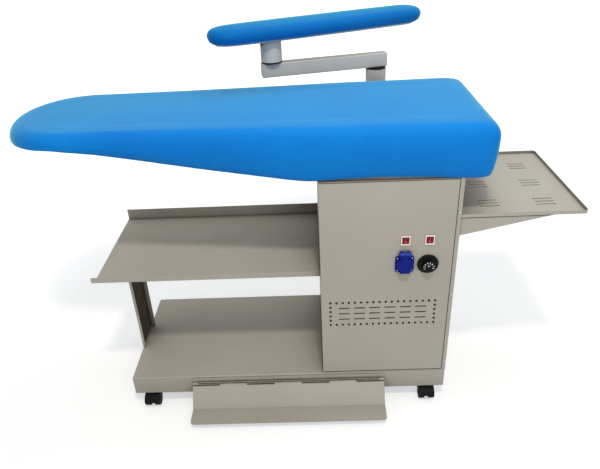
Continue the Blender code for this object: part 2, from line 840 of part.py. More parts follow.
# Caster rails: open channels across each end, with a stem socket at each end
rail_bottom = BASE_BOTTOM + SHEET + SEAT
rail_top = deck_under - SEAT
rail_front = SHEET + SEAT
rail_back = BASE_DEPTH - SHEET - SEAT
stem_ys = (("front", CASTER_INSET), ("rear", BASE_DEPTH - CASTER_INSET))
rail_xs = (("left", RAIL_INSET + RAIL_WIDTH / 2),
           ("right", BASE_LENGTH - RAIL_INSET - RAIL_WIDTH / 2))
for side, centre in rail_xs:
    low, high = centre - RAIL_WIDTH / 2, centre + RAIL_WIDTH / 2
    channel = [
        (low, rail_bottom), (high, rail_bottom), (high, rail_top),
        (high - SHEET, rail_top), (high - SHEET, rail_bottom + RAIL_SHEET),
        (low + SHEET, rail_bottom + RAIL_SHEET), (low + SHEET, rail_top), (low, rail_top),
    ]
    rail = add_object("base_rail_" + side,
                      new_prism(along_y(channel, rail_front), (0.0, rail_back - rail_front, 0.0)),
                      STEEL)
    sockets, bores = bmesh.new(), bmesh.new()
    for _, y in stem_ys:
        cylinder(sockets, (centre, y, rail_bottom + SHEET),
                 (centre, y, rail_bottom + SOCKET_HEIGHT), SOCKET_RADIUS, SEGMENTS_SMALL)
        cylinder(bores, (centre, y, rail_bottom - OVERRUN),
                 (centre, y, rail_bottom + SOCKET_HEIGHT + OVERRUN),
                 STEM_RADIUS + STEM_CLEARANCE, SEGMENTS_SMALL)
    join(rail, sockets)
    cut(rail, bores)

# Casters: a hooded yoke with its stem, and a twin-tread wheel on a hub tube
wheel_profile = (
    (0.0, -WHEEL_HALF_WIDTH),
    (WHEEL_RADIUS - WHEEL_EDGE, -WHEEL_HALF_WIDTH),
    (WHEEL_RADIUS, -WHEEL_HALF_WIDTH + WHEEL_EDGE),
    (WHEEL_RADIUS, -TREAD_INNER),
    (WHEEL_HUB_RADIUS, -TREAD_INNER),
    (WHEEL_HUB_RADIUS, TREAD_INNER),
    (WHEEL_RADIUS, TREAD_INNER),
    (WHEEL_RADIUS, WHEEL_HALF_WIDTH - WHEEL_EDGE),
    (WHEEL_RADIUS - WHEEL_EDGE, WHEEL_HALF_WIDTH),
    (0.0, WHEEL_HALF_WIDTH),
)
hood_inner = WHEEL_RADIUS + HOOD_CLEARANCE
hood_outer = hood_inner + HOOD_SHEET
for side, x in rail_xs:
    for end, y in stem_ys:
        name = "_".join(("caster", end, side))
        axle = (y - TRAIL, WHEEL_RADIUS)
        hood_outline = (arc(axle, hood_outer, HOOD_START, HOOD_END, HOOD_STEPS)
                        + arc(axle, hood_inner, HOOD_END, HOOD_START, HOOD_STEPS))
        yoke = add_object(name + "_yoke",
                          new_prism(along_x(hood_outline, x - WHEEL_HALF_WIDTH),
                                    (2 * WHEEL_HALF_WIDTH, 0.0, 0.0)),
                          RUBBER, origin=(x, y, WHEEL_RADIUS))
        web = arc(axle, WEB_DISC_RADIUS, WEB_START, WEB_END, WEB_STEPS)
        web += [(y + WEB_HALF, axle[1]), (y + WEB_HALF, WEB_TOP), (y - WEB_HALF, WEB_TOP),
                (axle[0], axle[1] + hood_inner + HOOD_SHEET / 2)]
        join(yoke, new_prism(along_x(web, x - WEB_HALF), (2 * WEB_HALF, 0.0, 0.0)))
        join(yoke, new_cylinder((x, y, WEB_TOP - SHEET), (x, y, COLLAR_TOP), COLLAR_RADIUS,
                                SEGMENTS_SMALL))
        join(yoke, new_cylinder((x, y, COLLAR_TOP - SHEET), (x, y, STEM_TOP), STEM_RADIUS,
                                SEGMENTS_SMALL))
        cut(yoke, new_cylinder((x - WEB_HALF - OVERRUN, *axle), (x + WEB_HALF + OVERRUN, *axle),
                               WHEEL_HUB_RADIUS + HUB_CLEARANCE, SEGMENTS_SMALL))
        wheel = bmesh.new()
        turned(wheel, wheel_profile, Matrix.Translation((x, *axle)) @ aim((1.0, 0.0, 0.0)),
               SEGMENTS_MEDIUM)
        add_object(name + "_wheel", wheel, RUBBER, origin=(x, *axle))

# Left upright: a channel open towards the cabinet
upright_low, upright_high = BASE_TOP + SEAT, SHELF_TOP - SHEET - SEAT
upright_plan = [
    (0.0, UPRIGHT_FRONT), (UPRIGHT_FLANGE, UPRIGHT_FRONT),
    (UPRIGHT_FLANGE, UPRIGHT_FRONT + SHEET), (SHEET, UPRIGHT_FRONT + SHEET),
    (SHEET, UPRIGHT_BACK - SHEET), (UPRIGHT_FLANGE, UPRIGHT_BACK - SHEET),
    (UPRIGHT_FLANGE, UPRIGHT_BACK), (0.0, UPRIGHT_BACK),
]
add_object("left_upright", new_prism(along_z(upright_plan, upright_low),
                                     (0.0, 0.0, upright_high - upright_low)), PAINT)

# Upper shelf: raised back lip, turned-down front lip with a tab, flange at the cabinet
shelf_right = CABINET_LEFT - SEAT
shelf_section = [
    (SHELF_FRONT, SHELF_TOP - SHELF_FRONT_LIP), (SHELF_FRONT + SHEET, SHELF_TOP - SHELF_FRONT_LIP),
    (SHELF_FRONT + SHEET, SHELF_TOP - SHEET), (SHELF_BACK, SHELF_TOP - SHEET),
    (SHELF_BACK, SHELF_TOP + SHELF_BACK_LIP), (SHELF_BACK - SHEET, SHELF_TOP + SHELF_BACK_LIP),
    (SHELF_BACK - SHEET, SHELF_TOP), (SHELF_FRONT, SHELF_TOP),
]
tab_left = SHELF_LEFT - SHELF_TAB
shelf = add_object("upper_shelf", new_prism(along_x(shelf_section, tab_left),
                                            (shelf_right - tab_left, 0.0, 0.0)), PAINT)
cut(shelf, new_box((tab_left - OVERRUN, SHELF_FRONT + SHEET + SEAT, SHELF_TOP - SHELF_FRONT_LIP),
                   (SHELF_LEFT, SHELF_BACK + OVERRUN, SHELF_TOP + SHELF_BACK_LIP + OVERRUN)))
join(shelf, new_box((shelf_right - SHEET - SEAT, SHELF_FRONT + SHELF_END_INSET,
                     SHELF_TOP - SHELF_END_FLANGE),
                    (shelf_right - SEAT, SHELF_BACK - SHELF_END_INSET, SHELF_TOP - SHEET / 2)))

# Cabinet floor pan, walls, back, top plate
floor_low = BASE_TOP + SEAT
floor_high = floor_low + SHEET
floor_section = [
    (0.0, floor_low), (BASE_DEPTH, floor_low), (BASE_DEPTH, floor_high),
    (SHEET, floor_high), (SHEET, floor_high + FLOOR_LIP), (0.0, floor_high + FLOOR_LIP),
]
cabinet_floor = add_object("cabinet_floor", new_prism(
    along_x(floor_section, CABINET_LEFT), (BASE_LENGTH - CABINET_LEFT, 0.0, 0.0)), PAINT)
cut(cabinet_floor, new_cylinder((*deck_hole, floor_low - OVERRUN), (*deck_hole, floor_high + OVERRUN),
                                DECK_CABLE_RADIUS, SEGMENTS_SMALL))
wall_low = floor_high + FLOOR_LIP + SEAT
plate_low = CABINET_TOP - SHEET
wall_high = plate_low - SEAT
wall_rise = (0.0, 0.0, wall_high - wall_low)
wall_front = SHEET + SEAT
left_plan = [
    (CABINET_LEFT, wall_front), (CABINET_LEFT + WALL_RETURN, wall_front),
    (CABINET_LEFT + WALL_RETURN, wall_front + SHEET), (CABINET_LEFT + SHEET, wall_front + SHEET),
    (CABINET_LEFT + SHEET, BASE_DEPTH - SHEET), (CABINET_LEFT + WALL_RETURN, BASE_DEPTH - SHEET),
    (CABINET_LEFT + WALL_RETURN, BASE_DEPTH), (CABINET_LEFT, BASE_DEPTH),
]
right_plan = [
    (BASE_LENGTH, 0.0), (BASE_LENGTH, BASE_DEPTH), (BASE_LENGTH - WALL_RETURN, BASE_DEPTH),
    (BASE_LENGTH - WALL_RETURN, BASE_DEPTH - SHEET), (BASE_LENGTH - SHEET, BASE_DEPTH - SHEET),
    (BASE_LENGTH - SHEET, SHEET), (BASE_LENGTH - RIGHT_RETURN, SHEET),
    (BASE_LENGTH - RIGHT_RETURN, 0.0),
]
add_object("cabinet_left_wall", new_prism(along_z(left_plan, wall_low), wall_rise), PAINT)
add_object("cabinet_right_wall", new_prism(along_z(right_plan, wall_low), wall_rise), PAINT)
back_front = BASE_DEPTH + SEAT
back_back = back_front + SHEET
back_panel = add_object("cabinet_back_panel", new_box(
    (CABINET_LEFT + BACK_PANEL_INSET, back_front, BASE_TOP + BACK_PANEL_END_INSET),
    (BASE_LENGTH - BACK_PANEL_INSET, back_back, CABINET_TOP - BACK_PANEL_END_INSET)), PAINT)
louvres = bmesh.new()
for column in range(LOUVRE_COLUMNS):
    x = CABINET_MIDDLE + LOUVRE_SPREAD * (2 * column - LOUVRE_COLUMNS + 1)
    for row in range(LOUVRE_ROWS):
        slot = stadium((x, LOUVRE_BOTTOM + LOUVRE_PITCH * row), LOUVRE_LENGTH, LOUVRE_HALF, SLOT_STEPS)
        prism(louvres, along_y(slot, back_front - OVERRUN), (0.0, SHEET + 2 * OVERRUN, 0.0))
cylinder(louvres, (GLAND_X, back_front - OVERRUN, GLAND_Z), (GLAND_X, back_back + OVERRUN, GLAND_Z),
         GLAND_THREAD_RADIUS + PANEL_CLEARANCE, SEGMENTS_SMALL)
elbow_middle_z = (ELBOW_BOTTOM + ELBOW_TOP) / 2
cylinder(louvres, (POST_X, back_front - OVERRUN, elbow_middle_z),
         (POST_X, back_back + OVERRUN, elbow_middle_z), ELBOW_HOLE_RADIUS, SEGMENTS_MEDIUM)
cut(back_panel, louvres)
top_plate = add_object("cabinet_top_plate", new_box(
    (CABINET_LEFT, 0.0, plate_low), (BASE_LENGTH, BASE_DEPTH, CABINET_TOP)), PAINT)
cut(top_plate, new_cylinder((DUCT_X, DUCT_Y, plate_low - OVERRUN),
                            (DUCT_X, DUCT_Y, CABINET_TOP + OVERRUN),
                            DUCT_RADIUS + PANEL_CLEARANCE, SEGMENTS_MEDIUM))

# Front panel: control cut-outs and a vent framed by round holes
panel_right = BASE_LENGTH - RIGHT_RETURN - SEAT
panel = add_object("front_panel", new_box((CABINET_LEFT, 0.0, wall_low),
                                          (panel_right, SHEET, wall_high)), PAINT)
for low in (wall_low, wall_high - SHEET):
    join(panel, new_box((CABINET_LEFT + PANEL_RETURN_INSET, SHEET / 2, low),
                        (panel_right - SHEET, SHEET + PANEL_RETURN, low + SHEET)))
openings = bmesh.new()
through = (0.0, SHEET + 2 * OVERRUN, 0.0)
for _, x in SWITCH_XS:
    reach = (SWITCH_BODY_HALF_WIDTH + PANEL_CLEARANCE, SWITCH_BODY_HALF_HEIGHT + PANEL_CLEARANCE)
    box(openings, (x - reach[0], -OVERRUN, SWITCH_Z - reach[1]),
        (x + reach[0], SHEET + OVERRUN, SWITCH_Z + reach[1]))
cylinder(openings, (SOCKET_X, -OVERRUN, SOCKET_Z), (SOCKET_X, SHEET + OVERRUN, SOCKET_Z),
         SOCKET_BARREL_RADIUS + PANEL_CLEARANCE, SEGMENTS_LARGE)
cylinder(openings, (DIAL_X, -OVERRUN, DIAL_Z), (DIAL_X, SHEET + OVERRUN, DIAL_Z),
         THERMOSTAT_NECK_RADIUS + PANEL_CLEARANCE, SEGMENTS_SMALL)
cut(panel, openings)
vent = bmesh.new()
step_x = VENT_WIDTH / (VENT_ACROSS - 1)
step_z = VENT_HEIGHT / (VENT_DOWN - 1)
for column in range(VENT_ACROSS):
    for row in range(VENT_DOWN):
        if column in (0, VENT_ACROSS - 1) or row in (0, VENT_DOWN - 1):
            spot = (VENT_LEFT + step_x * column, VENT_BOTTOM + step_z * row)
            cylinder(vent, (spot[0], -OVERRUN, spot[1]), (spot[0], SHEET + OVERRUN, spot[1]),
                     VENT_HOLE_RADIUS, SEGMENTS_HOLE)
slot_span = (VENT_WIDTH - 2 * VENT_SLOT_MARGIN) / VENT_SLOT_COLUMNS
slot_length = slot_span * VENT_SLOT_SHARE
slot_rise = VENT_HEIGHT / (VENT_SLOT_ROWS + 1)
for column in range(VENT_SLOT_COLUMNS):
    for row in range(VENT_SLOT_ROWS):
        spot = (VENT_LEFT + VENT_SLOT_MARGIN + slot_span * (column + 0.5),
                VENT_BOTTOM + slot_rise * (row + 1))
        prism(vent, along_y(stadium(spot, slot_length, VENT_SLOT_HALF, SLOT_STEPS), -OVERRUN), through)
cut(panel, vent)

# Padded board: plenum pan, heater, perforated plate, foam and cloth cover
board_widths = laid_out(BOARD_WIDTH_SHARES, BOARD_NOSE, BOARD_TAIL, 0.0, BOARD_HALF_WIDTH)
hem_knee = CABINET_LEFT - HEM_KNEE_INSET
nose_hem = laid_out(NOSE_HEM_SHARES, BOARD_NOSE, hem_knee, BOARD_TOP, -BOARD_SKIRT)
tail_hem = laid_out(TAIL_HEM_SHARES, hem_knee, BOARD_TAIL, BOARD_TOP, -BOARD_SKIRT)
plenum_seat = CABINET_TOP + SEAT
plenum_bottoms = [(x, z + PLENUM_TUCK) for x, z in nose_hem]
plenum_bottoms += [(CABINET_LEFT - PLENUM_KNEE_INSET, plenum_seat), (BOARD_TAIL, plenum_seat)]
board = {
    "half": half_outline(BOARD_NOSE, BOARD_TAIL, board_widths, NOSE_LENGTH, TAIL_CORNER, NOSE_POWER),
    "ends": (BOARD_NOSE, BOARD_TAIL),
    "axis": BOARD_AXIS_Y,
    "top": BOARD_TOP,
    "crown": BOARD_CROWN,
    "crown_inset": BOARD_CROWN_INSET,
    "shoulder": BOARD_SHOULDER,
    "taper": COVER_TAPER,
    "hem": lambda x: interpolate(nose_hem + tail_hem, x),
    "pad_base_inset": PLENUM_INSET,
}
plenum = add_object("board_plenum", new_skin(pan_rings(
    board, PLENUM_RIM, lambda x: interpolate(plenum_bottoms, x),
    PLENUM_INSET, PLENUM_BOTTOM_INSET, PLENUM_FLANGE)), PAINT)
cut(plenum, new_cylinder((DUCT_X, DUCT_Y, plenum_seat - OVERRUN),
                         (DUCT_X, DUCT_Y, plenum_seat + SHEET + OVERRUN),
                         DUCT_RADIUS + PANEL_CLEARANCE, SEGMENTS_MEDIUM))
plate_base = PLENUM_RIM + SEAT
plate = add_object("perforated_plate", new_skin(plate_rings(
    board, PLATE_INSET, plate_base, plate_base + SHEET)), ALUMINIUM)
holes = bmesh.new()
hole_start = BOARD_NOSE + PLATE_NOSE_MARGIN
hole_pitch = (BOARD_TAIL - PLATE_TAIL_MARGIN - hole_start) / (PLATE_HOLE_COLUMNS - 1)
for column in range(PLATE_HOLE_COLUMNS):
    for row in range(PLATE_HOLE_ROWS):
        spot = (hole_start + hole_pitch * column,
                BOARD_AXIS_Y + PLATE_ROW_PITCH * (row - (PLATE_HOLE_ROWS - 1) / 2))
        cylinder(holes, (*spot, plate_base - OVERRUN), (*spot, plate_base + SHEET + OVERRUN),
                 PLATE_HOLE_RADIUS, SEGMENTS_HOLE)
cut(plate, holes)
pad_base = plate_base + SHEET + SEAT
add_object("board_foam", new_skin(pad_rings(board, pad_base)), FOAM)
add_object("board_cover", new_skin(cover_rings(board)), COVER)

# Heating element: straight runs joined by bends, under the perforated plate
bend_radius = HEATER_SPREAD / 2
heater_low = BOARD_NOSE + HEATER_NOSE_MARGIN + bend_radius
heater_high = BOARD_TAIL - HEATER_TAIL_MARGIN
heater_turn = heater_high - 2 * bend_radius
first_run = BOARD_AXIS_Y + HEATER_SPREAD * (HEATER_LANES - 1) / 2
heater_path = [(heater_high, first_run)]
for lane in range(HEATER_LANES - 1):
    middle = first_run - HEATER_SPREAD * lane - bend_radius
    if lane % 2:
        heater_path += arc((heater_turn, middle), bend_radius, QUARTER, -QUARTER, HEATER_BEND_STEPS)
    else:
        heater_path += arc((heater_low, middle), bend_radius, QUARTER, 3 * QUARTER, HEATER_BEND_STEPS)
heater_path.append((heater_high, first_run - HEATER_SPREAD * (HEATER_LANES - 1)))
tube = bpy.data.curves.new("heating_element", "CURVE")
tube.dimensions = "3D"
tube.bevel_depth = HEATER_RADIUS
tube.bevel_resolution = 1
tube.use_fill_caps = True
spline = tube.splines.new("POLY")
spline.points.add(len(heater_path[1:]))
for point, (x, y) in zip(spline.points, heater_path):
    point.co = (x, y, PLENUM_RIM - HEATER_RADIUS, 1.0)
tube.materials.append(HEATER)
heating_element = bpy.data.objects.new("heating_element", tube)
bpy.context.scene.collection.objects.link(heating_element)
heating_element.parent = ROOT

# Suction duct from the blower up into the plenum
shelf_low = BLOWER_SHELF_TOP - SHEET
scroll_low = BLOWER_SHELF_TOP + SEAT
scroll_high = scroll_low + SCROLL_HEIGHT
duct_low = scroll_high + SEAT
duct_inner = DUCT_RADIUS - DUCT_WALL
duct_profile = (
    (duct_inner, duct_low), (DUCT_FLANGE_RADIUS, duct_low),
    (DUCT_FLANGE_RADIUS, duct_low + DUCT_WALL), (DUCT_RADIUS, duct_low + DUCT_WALL),
    (DUCT_RADIUS, wall_high - DUCT_WALL), (DUCT_FLANGE_RADIUS, wall_high - DUCT_WALL),
    (DUCT_FLANGE_RADIUS, wall_high), (DUCT_RADIUS, wall_high),
    (DUCT_RADIUS, plenum_seat + SHEET + DUCT_RISE), (duct_inner, plenum_seat + SHEET + DUCT_RISE),
)
blower_place = Matrix.Translation((DUCT_X, DUCT_Y, 0.0))
duct = bmesh.new()
turned(duct, duct_profile, blower_place, SEGMENTS_MEDIUM)
add_object("suction_duct", duct, STEEL)

# Blower shelf across the cabinet
wall_inner = (CABINET_LEFT + SHEET + SEAT, BASE_LENGTH - SHEET - SEAT)
shelf_profile = [
    (wall_inner[0], shelf_low - BLOWER_SHELF_FLANGE),
    (wall_inner[0] + SHEET, shelf_low - BLOWER_SHELF_FLANGE),
    (wall_inner[0] + SHEET, shelf_low), (wall_inner[1] - SHEET, shelf_low),
    (wall_inner[1] - SHEET, shelf_low - BLOWER_SHELF_FLANGE),
    (wall_inner[1], shelf_low - BLOWER_SHELF_FLANGE),
    (wall_inner[1], BLOWER_SHELF_TOP), (wall_inner[0], BLOWER_SHELF_TOP),
]
blower_shelf = add_object("blower_shelf", new_prism(
    along_y(shelf_profile, BLOWER_SHELF_FRONT),
    (0.0, BLOWER_SHELF_BACK - BLOWER_SHELF_FRONT, 0.0)), STEEL)
cut(blower_shelf, new_cylinder((DUCT_X, DUCT_Y, shelf_low - OVERRUN),
                               (DUCT_X, DUCT_Y, BLOWER_SHELF_TOP + OVERRUN),
                               MOTOR_HOLE_RADIUS, SEGMENTS_MEDIUM))

# Blower scroll: a widening spiral with its outlet towards the front
scroll_start, scroll_end = SCROLL_TONGUE_ANGLE, 2 * QUARTER


def spiral(draw_in):
    points = []
    for step in range(SCROLL_STEPS + 1):
        share = step / SCROLL_STEPS
        angle = scroll_start + (scroll_end - scroll_start) * share
        radius = SCROLL_START_RADIUS + SCROLL_GROWTH * share - draw_in
        points.append((DUCT_X + radius * math.cos(angle), DUCT_Y + radius * math.sin(angle)))
    return points


outlet_y = DUCT_Y - OUTLET_REACH
outer = spiral(0.0)
inner = spiral(SCROLL_WALL)
tongue = outer[0]
outer += [(outer[-1][0], outlet_y), (tongue[0], outlet_y)]
inner += [(inner[-1][0], outlet_y - OVERRUN), (tongue[0] - SCROLL_WALL, outlet_y - OVERRUN),
          (tongue[0] - SCROLL_WALL, tongue[1] + SCROLL_WALL)]
scroll = add_object("fan_housing", new_prism(along_z(outer, scroll_low),
                                             (0.0, 0.0, SCROLL_HEIGHT)), STEEL)
cut(scroll, new_prism(along_z(inner, scroll_low + SCROLL_WALL),
                      (0.0, 0.0, SCROLL_HEIGHT - 2 * SCROLL_WALL)))
cut(scroll, new_cylinder((DUCT_X, DUCT_Y, scroll_high - SCROLL_WALL - OVERRUN),
                         (DUCT_X, DUCT_Y, scroll_high + OVERRUN), duct_inner, SEGMENTS_MEDIUM))
cut(scroll, new_cylinder((DUCT_X, DUCT_Y, scroll_low - OVERRUN),
                         (DUCT_X, DUCT_Y, scroll_low + SCROLL_WALL + OVERRUN),
                         SHAFT_HOLE_RADIUS, SEGMENTS_MEDIUM))

# Impeller: hub and disc, curved blades, and a ring over the blade tips
fan_low = scroll_low + SCROLL_WALL + FAN_RUNNING_GAP
blade_low = fan_low + FAN_DISC / 2
blade_high = fan_low + FAN_DISC + FAN_BLADE_HEIGHT
bore = SHAFT_RADIUS + SHAFT_CLEARANCE
fan = bmesh.new()
turned(fan, (
    (bore, fan_low), (FAN_RADIUS, fan_low), (FAN_RADIUS, fan_low + FAN_DISC),
    (FAN_HUB_RADIUS, fan_low + FAN_DISC), (FAN_HUB_RADIUS, blade_high), (bore, blade_high),
), blower_place, SEGMENTS_MEDIUM)
impeller = add_object("fan_impeller", fan, ALUMINIUM, origin=(DUCT_X, DUCT_Y, fan_low))
blades = bmesh.new()
for blade in range(FAN_BLADES):
    front, back = [], []
    for step in range(FAN_BLADE_STEPS + 1):
        share = step / FAN_BLADE_STEPS
        radius = FAN_BLADE_START + (FAN_RADIUS - FAN_DISC - FAN_BLADE_START) * share
        angle = FULL_TURN * blade / FAN_BLADES - FAN_BLADE_SWEEP * share
        lean = FAN_BLADE_HALF / radius
        for side, turn in ((front, lean), (back, -lean)):
            side.append((DUCT_X + radius * math.cos(angle + turn),
                         DUCT_Y + radius * math.sin(angle + turn)))
    prism(blades, along_z(front + back[::-1], blade_low), (0.0, 0.0, blade_high - blade_low))
join(impeller, blades)
shroud = bmesh.new()
turned(shroud, (
    (FAN_EYE_RADIUS, blade_high - FAN_DISC / 2), (FAN_RADIUS, blade_high - FAN_DISC / 2),
    (FAN_RADIUS, blade_high + FAN_DISC / 2), (FAN_EYE_RADIUS, blade_high + FAN_DISC / 2),
), blower_place, SEGMENTS_MEDIUM)
join(impeller, shroud)

# Motor under the shelf, with its shaft running up into the impeller
motor_top = shelf_low - SEAT
motor_bottom = motor_top - MOTOR_HEIGHT
boss_top = scroll_low + SCROLL_WALL
shaft_low = boss_top - SHAFT_DEPTH
motor_profile = [(0.0, motor_bottom), (MOTOR_CAP_RADIUS, motor_bottom),
                 (MOTOR_RADIUS, motor_bottom + MOTOR_RADIUS - MOTOR_CAP_RADIUS)]
rib_low = motor_bottom + 2 * (MOTOR_RADIUS - MOTOR_CAP_RADIUS)
rib_pitch = (motor_top - MOTOR_FLANGE - rib_low) / (2 * MOTOR_RIBS)
for rib in range(MOTOR_RIBS):
    low = rib_low + 2 * rib_pitch * rib
    motor_profile += [(MOTOR_RADIUS, low), (MOTOR_RADIUS - MOTOR_RIB, low),
                      (MOTOR_RADIUS - MOTOR_RIB, low + rib_pitch), (MOTOR_RADIUS, low + rib_pitch)]
motor_profile += [
    (MOTOR_RADIUS, motor_top - MOTOR_FLANGE), (MOTOR_FLANGE_RADIUS, motor_top - MOTOR_FLANGE),
    (MOTOR_FLANGE_RADIUS, motor_top), (SHAFT_HOLE_RADIUS - SHEET, motor_top),
    (SHAFT_HOLE_RADIUS - SHEET, boss_top), (bore, boss_top),
    (bore, shaft_low - SEAT), (0.0, shaft_low - SEAT),
]
motor = bmesh.new()
turned(motor, motor_profile, blower_place, SEGMENTS_SMALL)
add_object("motor_body", motor, ALUMINIUM)
add_object("motor_shaft", new_cylinder((DUCT_X, DUCT_Y, shaft_low), (DUCT_X, DUCT_Y, blade_high),
                                       SHAFT_RADIUS, SEGMENTS_SMALL), STEEL,
           origin=(DUCT_X, DUCT_Y, shaft_low), bevel=FINE_EDGE)

# Elbow duct behind the cabinet, carrying the sleeve post
elbow_front = back_back + SEAT
elbow = add_object("post_elbow", new_box(
    (POST_X - ELBOW_HALF_WIDTH, elbow_front, ELBOW_BOTTOM),
    (POST_X + ELBOW_HALF_WIDTH, ELBOW_BACK, ELBOW_TOP)), PAINT, bevel=BEND)
cut(elbow, new_box(
    (POST_X - ELBOW_HALF_WIDTH + SHEET, elbow_front + SHEET, ELBOW_BOTTOM + SHEET),
    (POST_X + ELBOW_HALF_WIDTH - SHEET, ELBOW_BACK - SHEET, ELBOW_TOP - SHEET)))
cut(elbow, new_cylinder((POST_X, elbow_front - OVERRUN, elbow_middle_z),
                        (POST_X, elbow_front + SHEET + OVERRUN, elbow_middle_z),
                        ELBOW_HOLE_RADIUS, SEGMENTS_MEDIUM))
cut(elbow, new_cylinder((POST_X, POST_Y, ELBOW_TOP - SHEET - OVERRUN),
                        (POST_X, POST_Y, ELBOW_TOP + OVERRUN), ELBOW_HOLE_RADIUS, SEGMENTS_MEDIUM))

# Sleeve post and the bush that the arm turns in
bush_low = ARM_BOTTOM - SEAT - BUSH_RING
post_low, post_high = ELBOW_TOP + SEAT, bush_low - SEAT
post_inner = POST_RADIUS - POST_WALL
post_place = Matrix.Translation((POST_X, POST_Y, 0.0))
spigot_bore = SPIGOT_RADIUS + SPIGOT_CLEARANCE
post = bmesh.new()
turned(post, ((post_inner, post_low), (POST_RADIUS, post_low), (POST_RADIUS, post_high),
              (post_inner, post_high)), post_place, SEGMENTS_LARGE)
add_object("sleeve_post", post, PAINT)
bush = bmesh.new()
bush_outer = post_inner - SPIGOT_CLEARANCE
turned(bush, (
    (spigot_bore, bush_low - BUSH_SLEEVE_DEPTH), (bush_outer, bush_low - BUSH_SLEEVE_DEPTH),
    (bush_outer, bush_low), (BUSH_RING_RADIUS, bush_low), (BUSH_RING_RADIUS, bush_low + BUSH_RING),
    (spigot_bore, bush_low + BUSH_RING),
), post_place, SEGMENTS_LARGE)
add_object("arm_bush", bush, RUBBER)

# Swing arm: a hollow bar with a spigot down into the post and one up into the hub
arm_place = Matrix.Translation((POST_X, POST_Y, 0.0)) @ Matrix.Rotation(ARM_YAW, 4, "Z")
arm_origin = (POST_X, POST_Y, ARM_BOTTOM)
arm = add_object("swing_arm", moved(new_box(
    (-ARM_END, -ARM_HALF_WIDTH, ARM_BOTTOM), (ARM_REACH + ARM_END, ARM_HALF_WIDTH, ARM_TOP)),
    arm_place), PAINT, origin=arm_origin, bevel=BEND)
spigots = bmesh.new()
cylinder(spigots, (0.0, 0.0, ARM_BOTTOM - SPIGOT_LENGTH), (0.0, 0.0, ARM_BOTTOM + ARM_WALL / 2),
         SPIGOT_RADIUS, SEGMENTS_MEDIUM)
cylinder(spigots, (ARM_REACH, 0.0, ARM_TOP - ARM_WALL / 2), (ARM_REACH, 0.0, ARM_TOP + SPIGOT_LENGTH),
         SPIGOT_RADIUS, SEGMENTS_MEDIUM)
join(arm, moved(spigots, arm_place))
cut(arm, moved(new_box(
    (-ARM_END + ARM_WALL, -ARM_HALF_WIDTH + ARM_WALL, ARM_BOTTOM + ARM_WALL),
    (ARM_REACH + ARM_END - ARM_WALL, ARM_HALF_WIDTH - ARM_WALL, ARM_TOP - ARM_WALL)), arm_place))
bores = bmesh.new()
cylinder(bores, (0.0, 0.0, ARM_BOTTOM - SPIGOT_LENGTH - OVERRUN),
         (0.0, 0.0, ARM_BOTTOM + ARM_WALL + OVERRUN), SPIGOT_BORE, SEGMENTS_SMALL)
cylinder(bores, (ARM_REACH, 0.0, ARM_TOP - ARM_WALL - OVERRUN),
         (ARM_REACH, 0.0, ARM_TOP + SPIGOT_LENGTH + OVERRUN), SPIGOT_BORE, SEGMENTS_SMALL)
cut(arm, moved(bores, arm_place))

# Hub and hub bush at the arm's outer end
hub_xy = arm_place @ Vector((ARM_REACH, 0.0, 0.0))
hub_place = Matrix.Translation((hub_xy.x, hub_xy.y, 0.0))
hub_bush_low = ARM_TOP + SEAT
hub_low = hub_bush_low + BUSH_RING + SEAT
hub_step = hub_low + HUB_BORE_DEPTH
hub_bush = bmesh.new()
turned(hub_bush, (
    (spigot_bore, hub_bush_low), (BUSH_RING_RADIUS, hub_bush_low),
    (BUSH_RING_RADIUS, hub_bush_low + BUSH_RING), (spigot_bore, hub_bush_low + BUSH_RING),
), hub_place, SEGMENTS_LARGE)
add_object("hub_bush", hub_bush, RUBBER, origin=(hub_xy.x, hub_xy.y, hub_bush_low))
hub = bmesh.new()
turned(hub, (
    (spigot_bore, hub_low), (POST_RADIUS, hub_low), (POST_RADIUS, HUB_TOP),
    (SPIGOT_BORE, HUB_TOP), (SPIGOT_BORE, hub_step), (spigot_bore, hub_step),
), hub_place, SEGMENTS_LARGE)
hub_origin = (hub_xy.x, hub_xy.y, hub_low)
add_object("sleeve_hub", hub, PAINT, origin=hub_origin)

# Sleeve board on the hub: pan, perforated plate, foam and cloth cover
sleeve_widths = laid_out(SLEEVE_WIDTH_SHARES, SLEEVE_LEFT, SLEEVE_RIGHT, 0.0, SLEEVE_HALF_WIDTH)
sleeve = {
    "half": half_outline(SLEEVE_LEFT, SLEEVE_RIGHT, sleeve_widths, SLEEVE_NOSE_LENGTH,
                         SLEEVE_TAIL_CORNER, NOSE_POWER),
    "ends": (SLEEVE_LEFT, SLEEVE_RIGHT),
    "axis": 0.0,
    "top": SLEEVE_TOP,
    "crown": SLEEVE_CROWN,
    "crown_inset": SLEEVE_CROWN_INSET,
    "shoulder": SLEEVE_SHOULDER,
    "taper": SLEEVE_TAPER,
    "hem": SLEEVE_HEM,
    "pad_base_inset": SLEEVE_PLATE_INSET,
}
sleeve_place = hub_place @ Matrix.Rotation(SLEEVE_YAW, 4, "Z")
sleeve_pan = add_object("sleeve_pan", moved(new_skin(pan_rings(
    sleeve, SLEEVE_PAN_RIM, SLEEVE_BOTTOM, SLEEVE_PAN_INSET, SLEEVE_PAN_BOTTOM_INSET,
    SLEEVE_PAN_FLANGE)), sleeve_place), PAINT, origin=hub_origin)
cut(sleeve_pan, moved(new_cylinder((0.0, 0.0, SLEEVE_BOTTOM - OVERRUN),
                                   (0.0, 0.0, SLEEVE_BOTTOM + SHEET + OVERRUN),
                                   SPIGOT_BORE, SEGMENTS_SMALL), sleeve_place))
sleeve_plate_low = SLEEVE_PAN_RIM + SEAT
sleeve_plate_high = sleeve_plate_low + SHEET
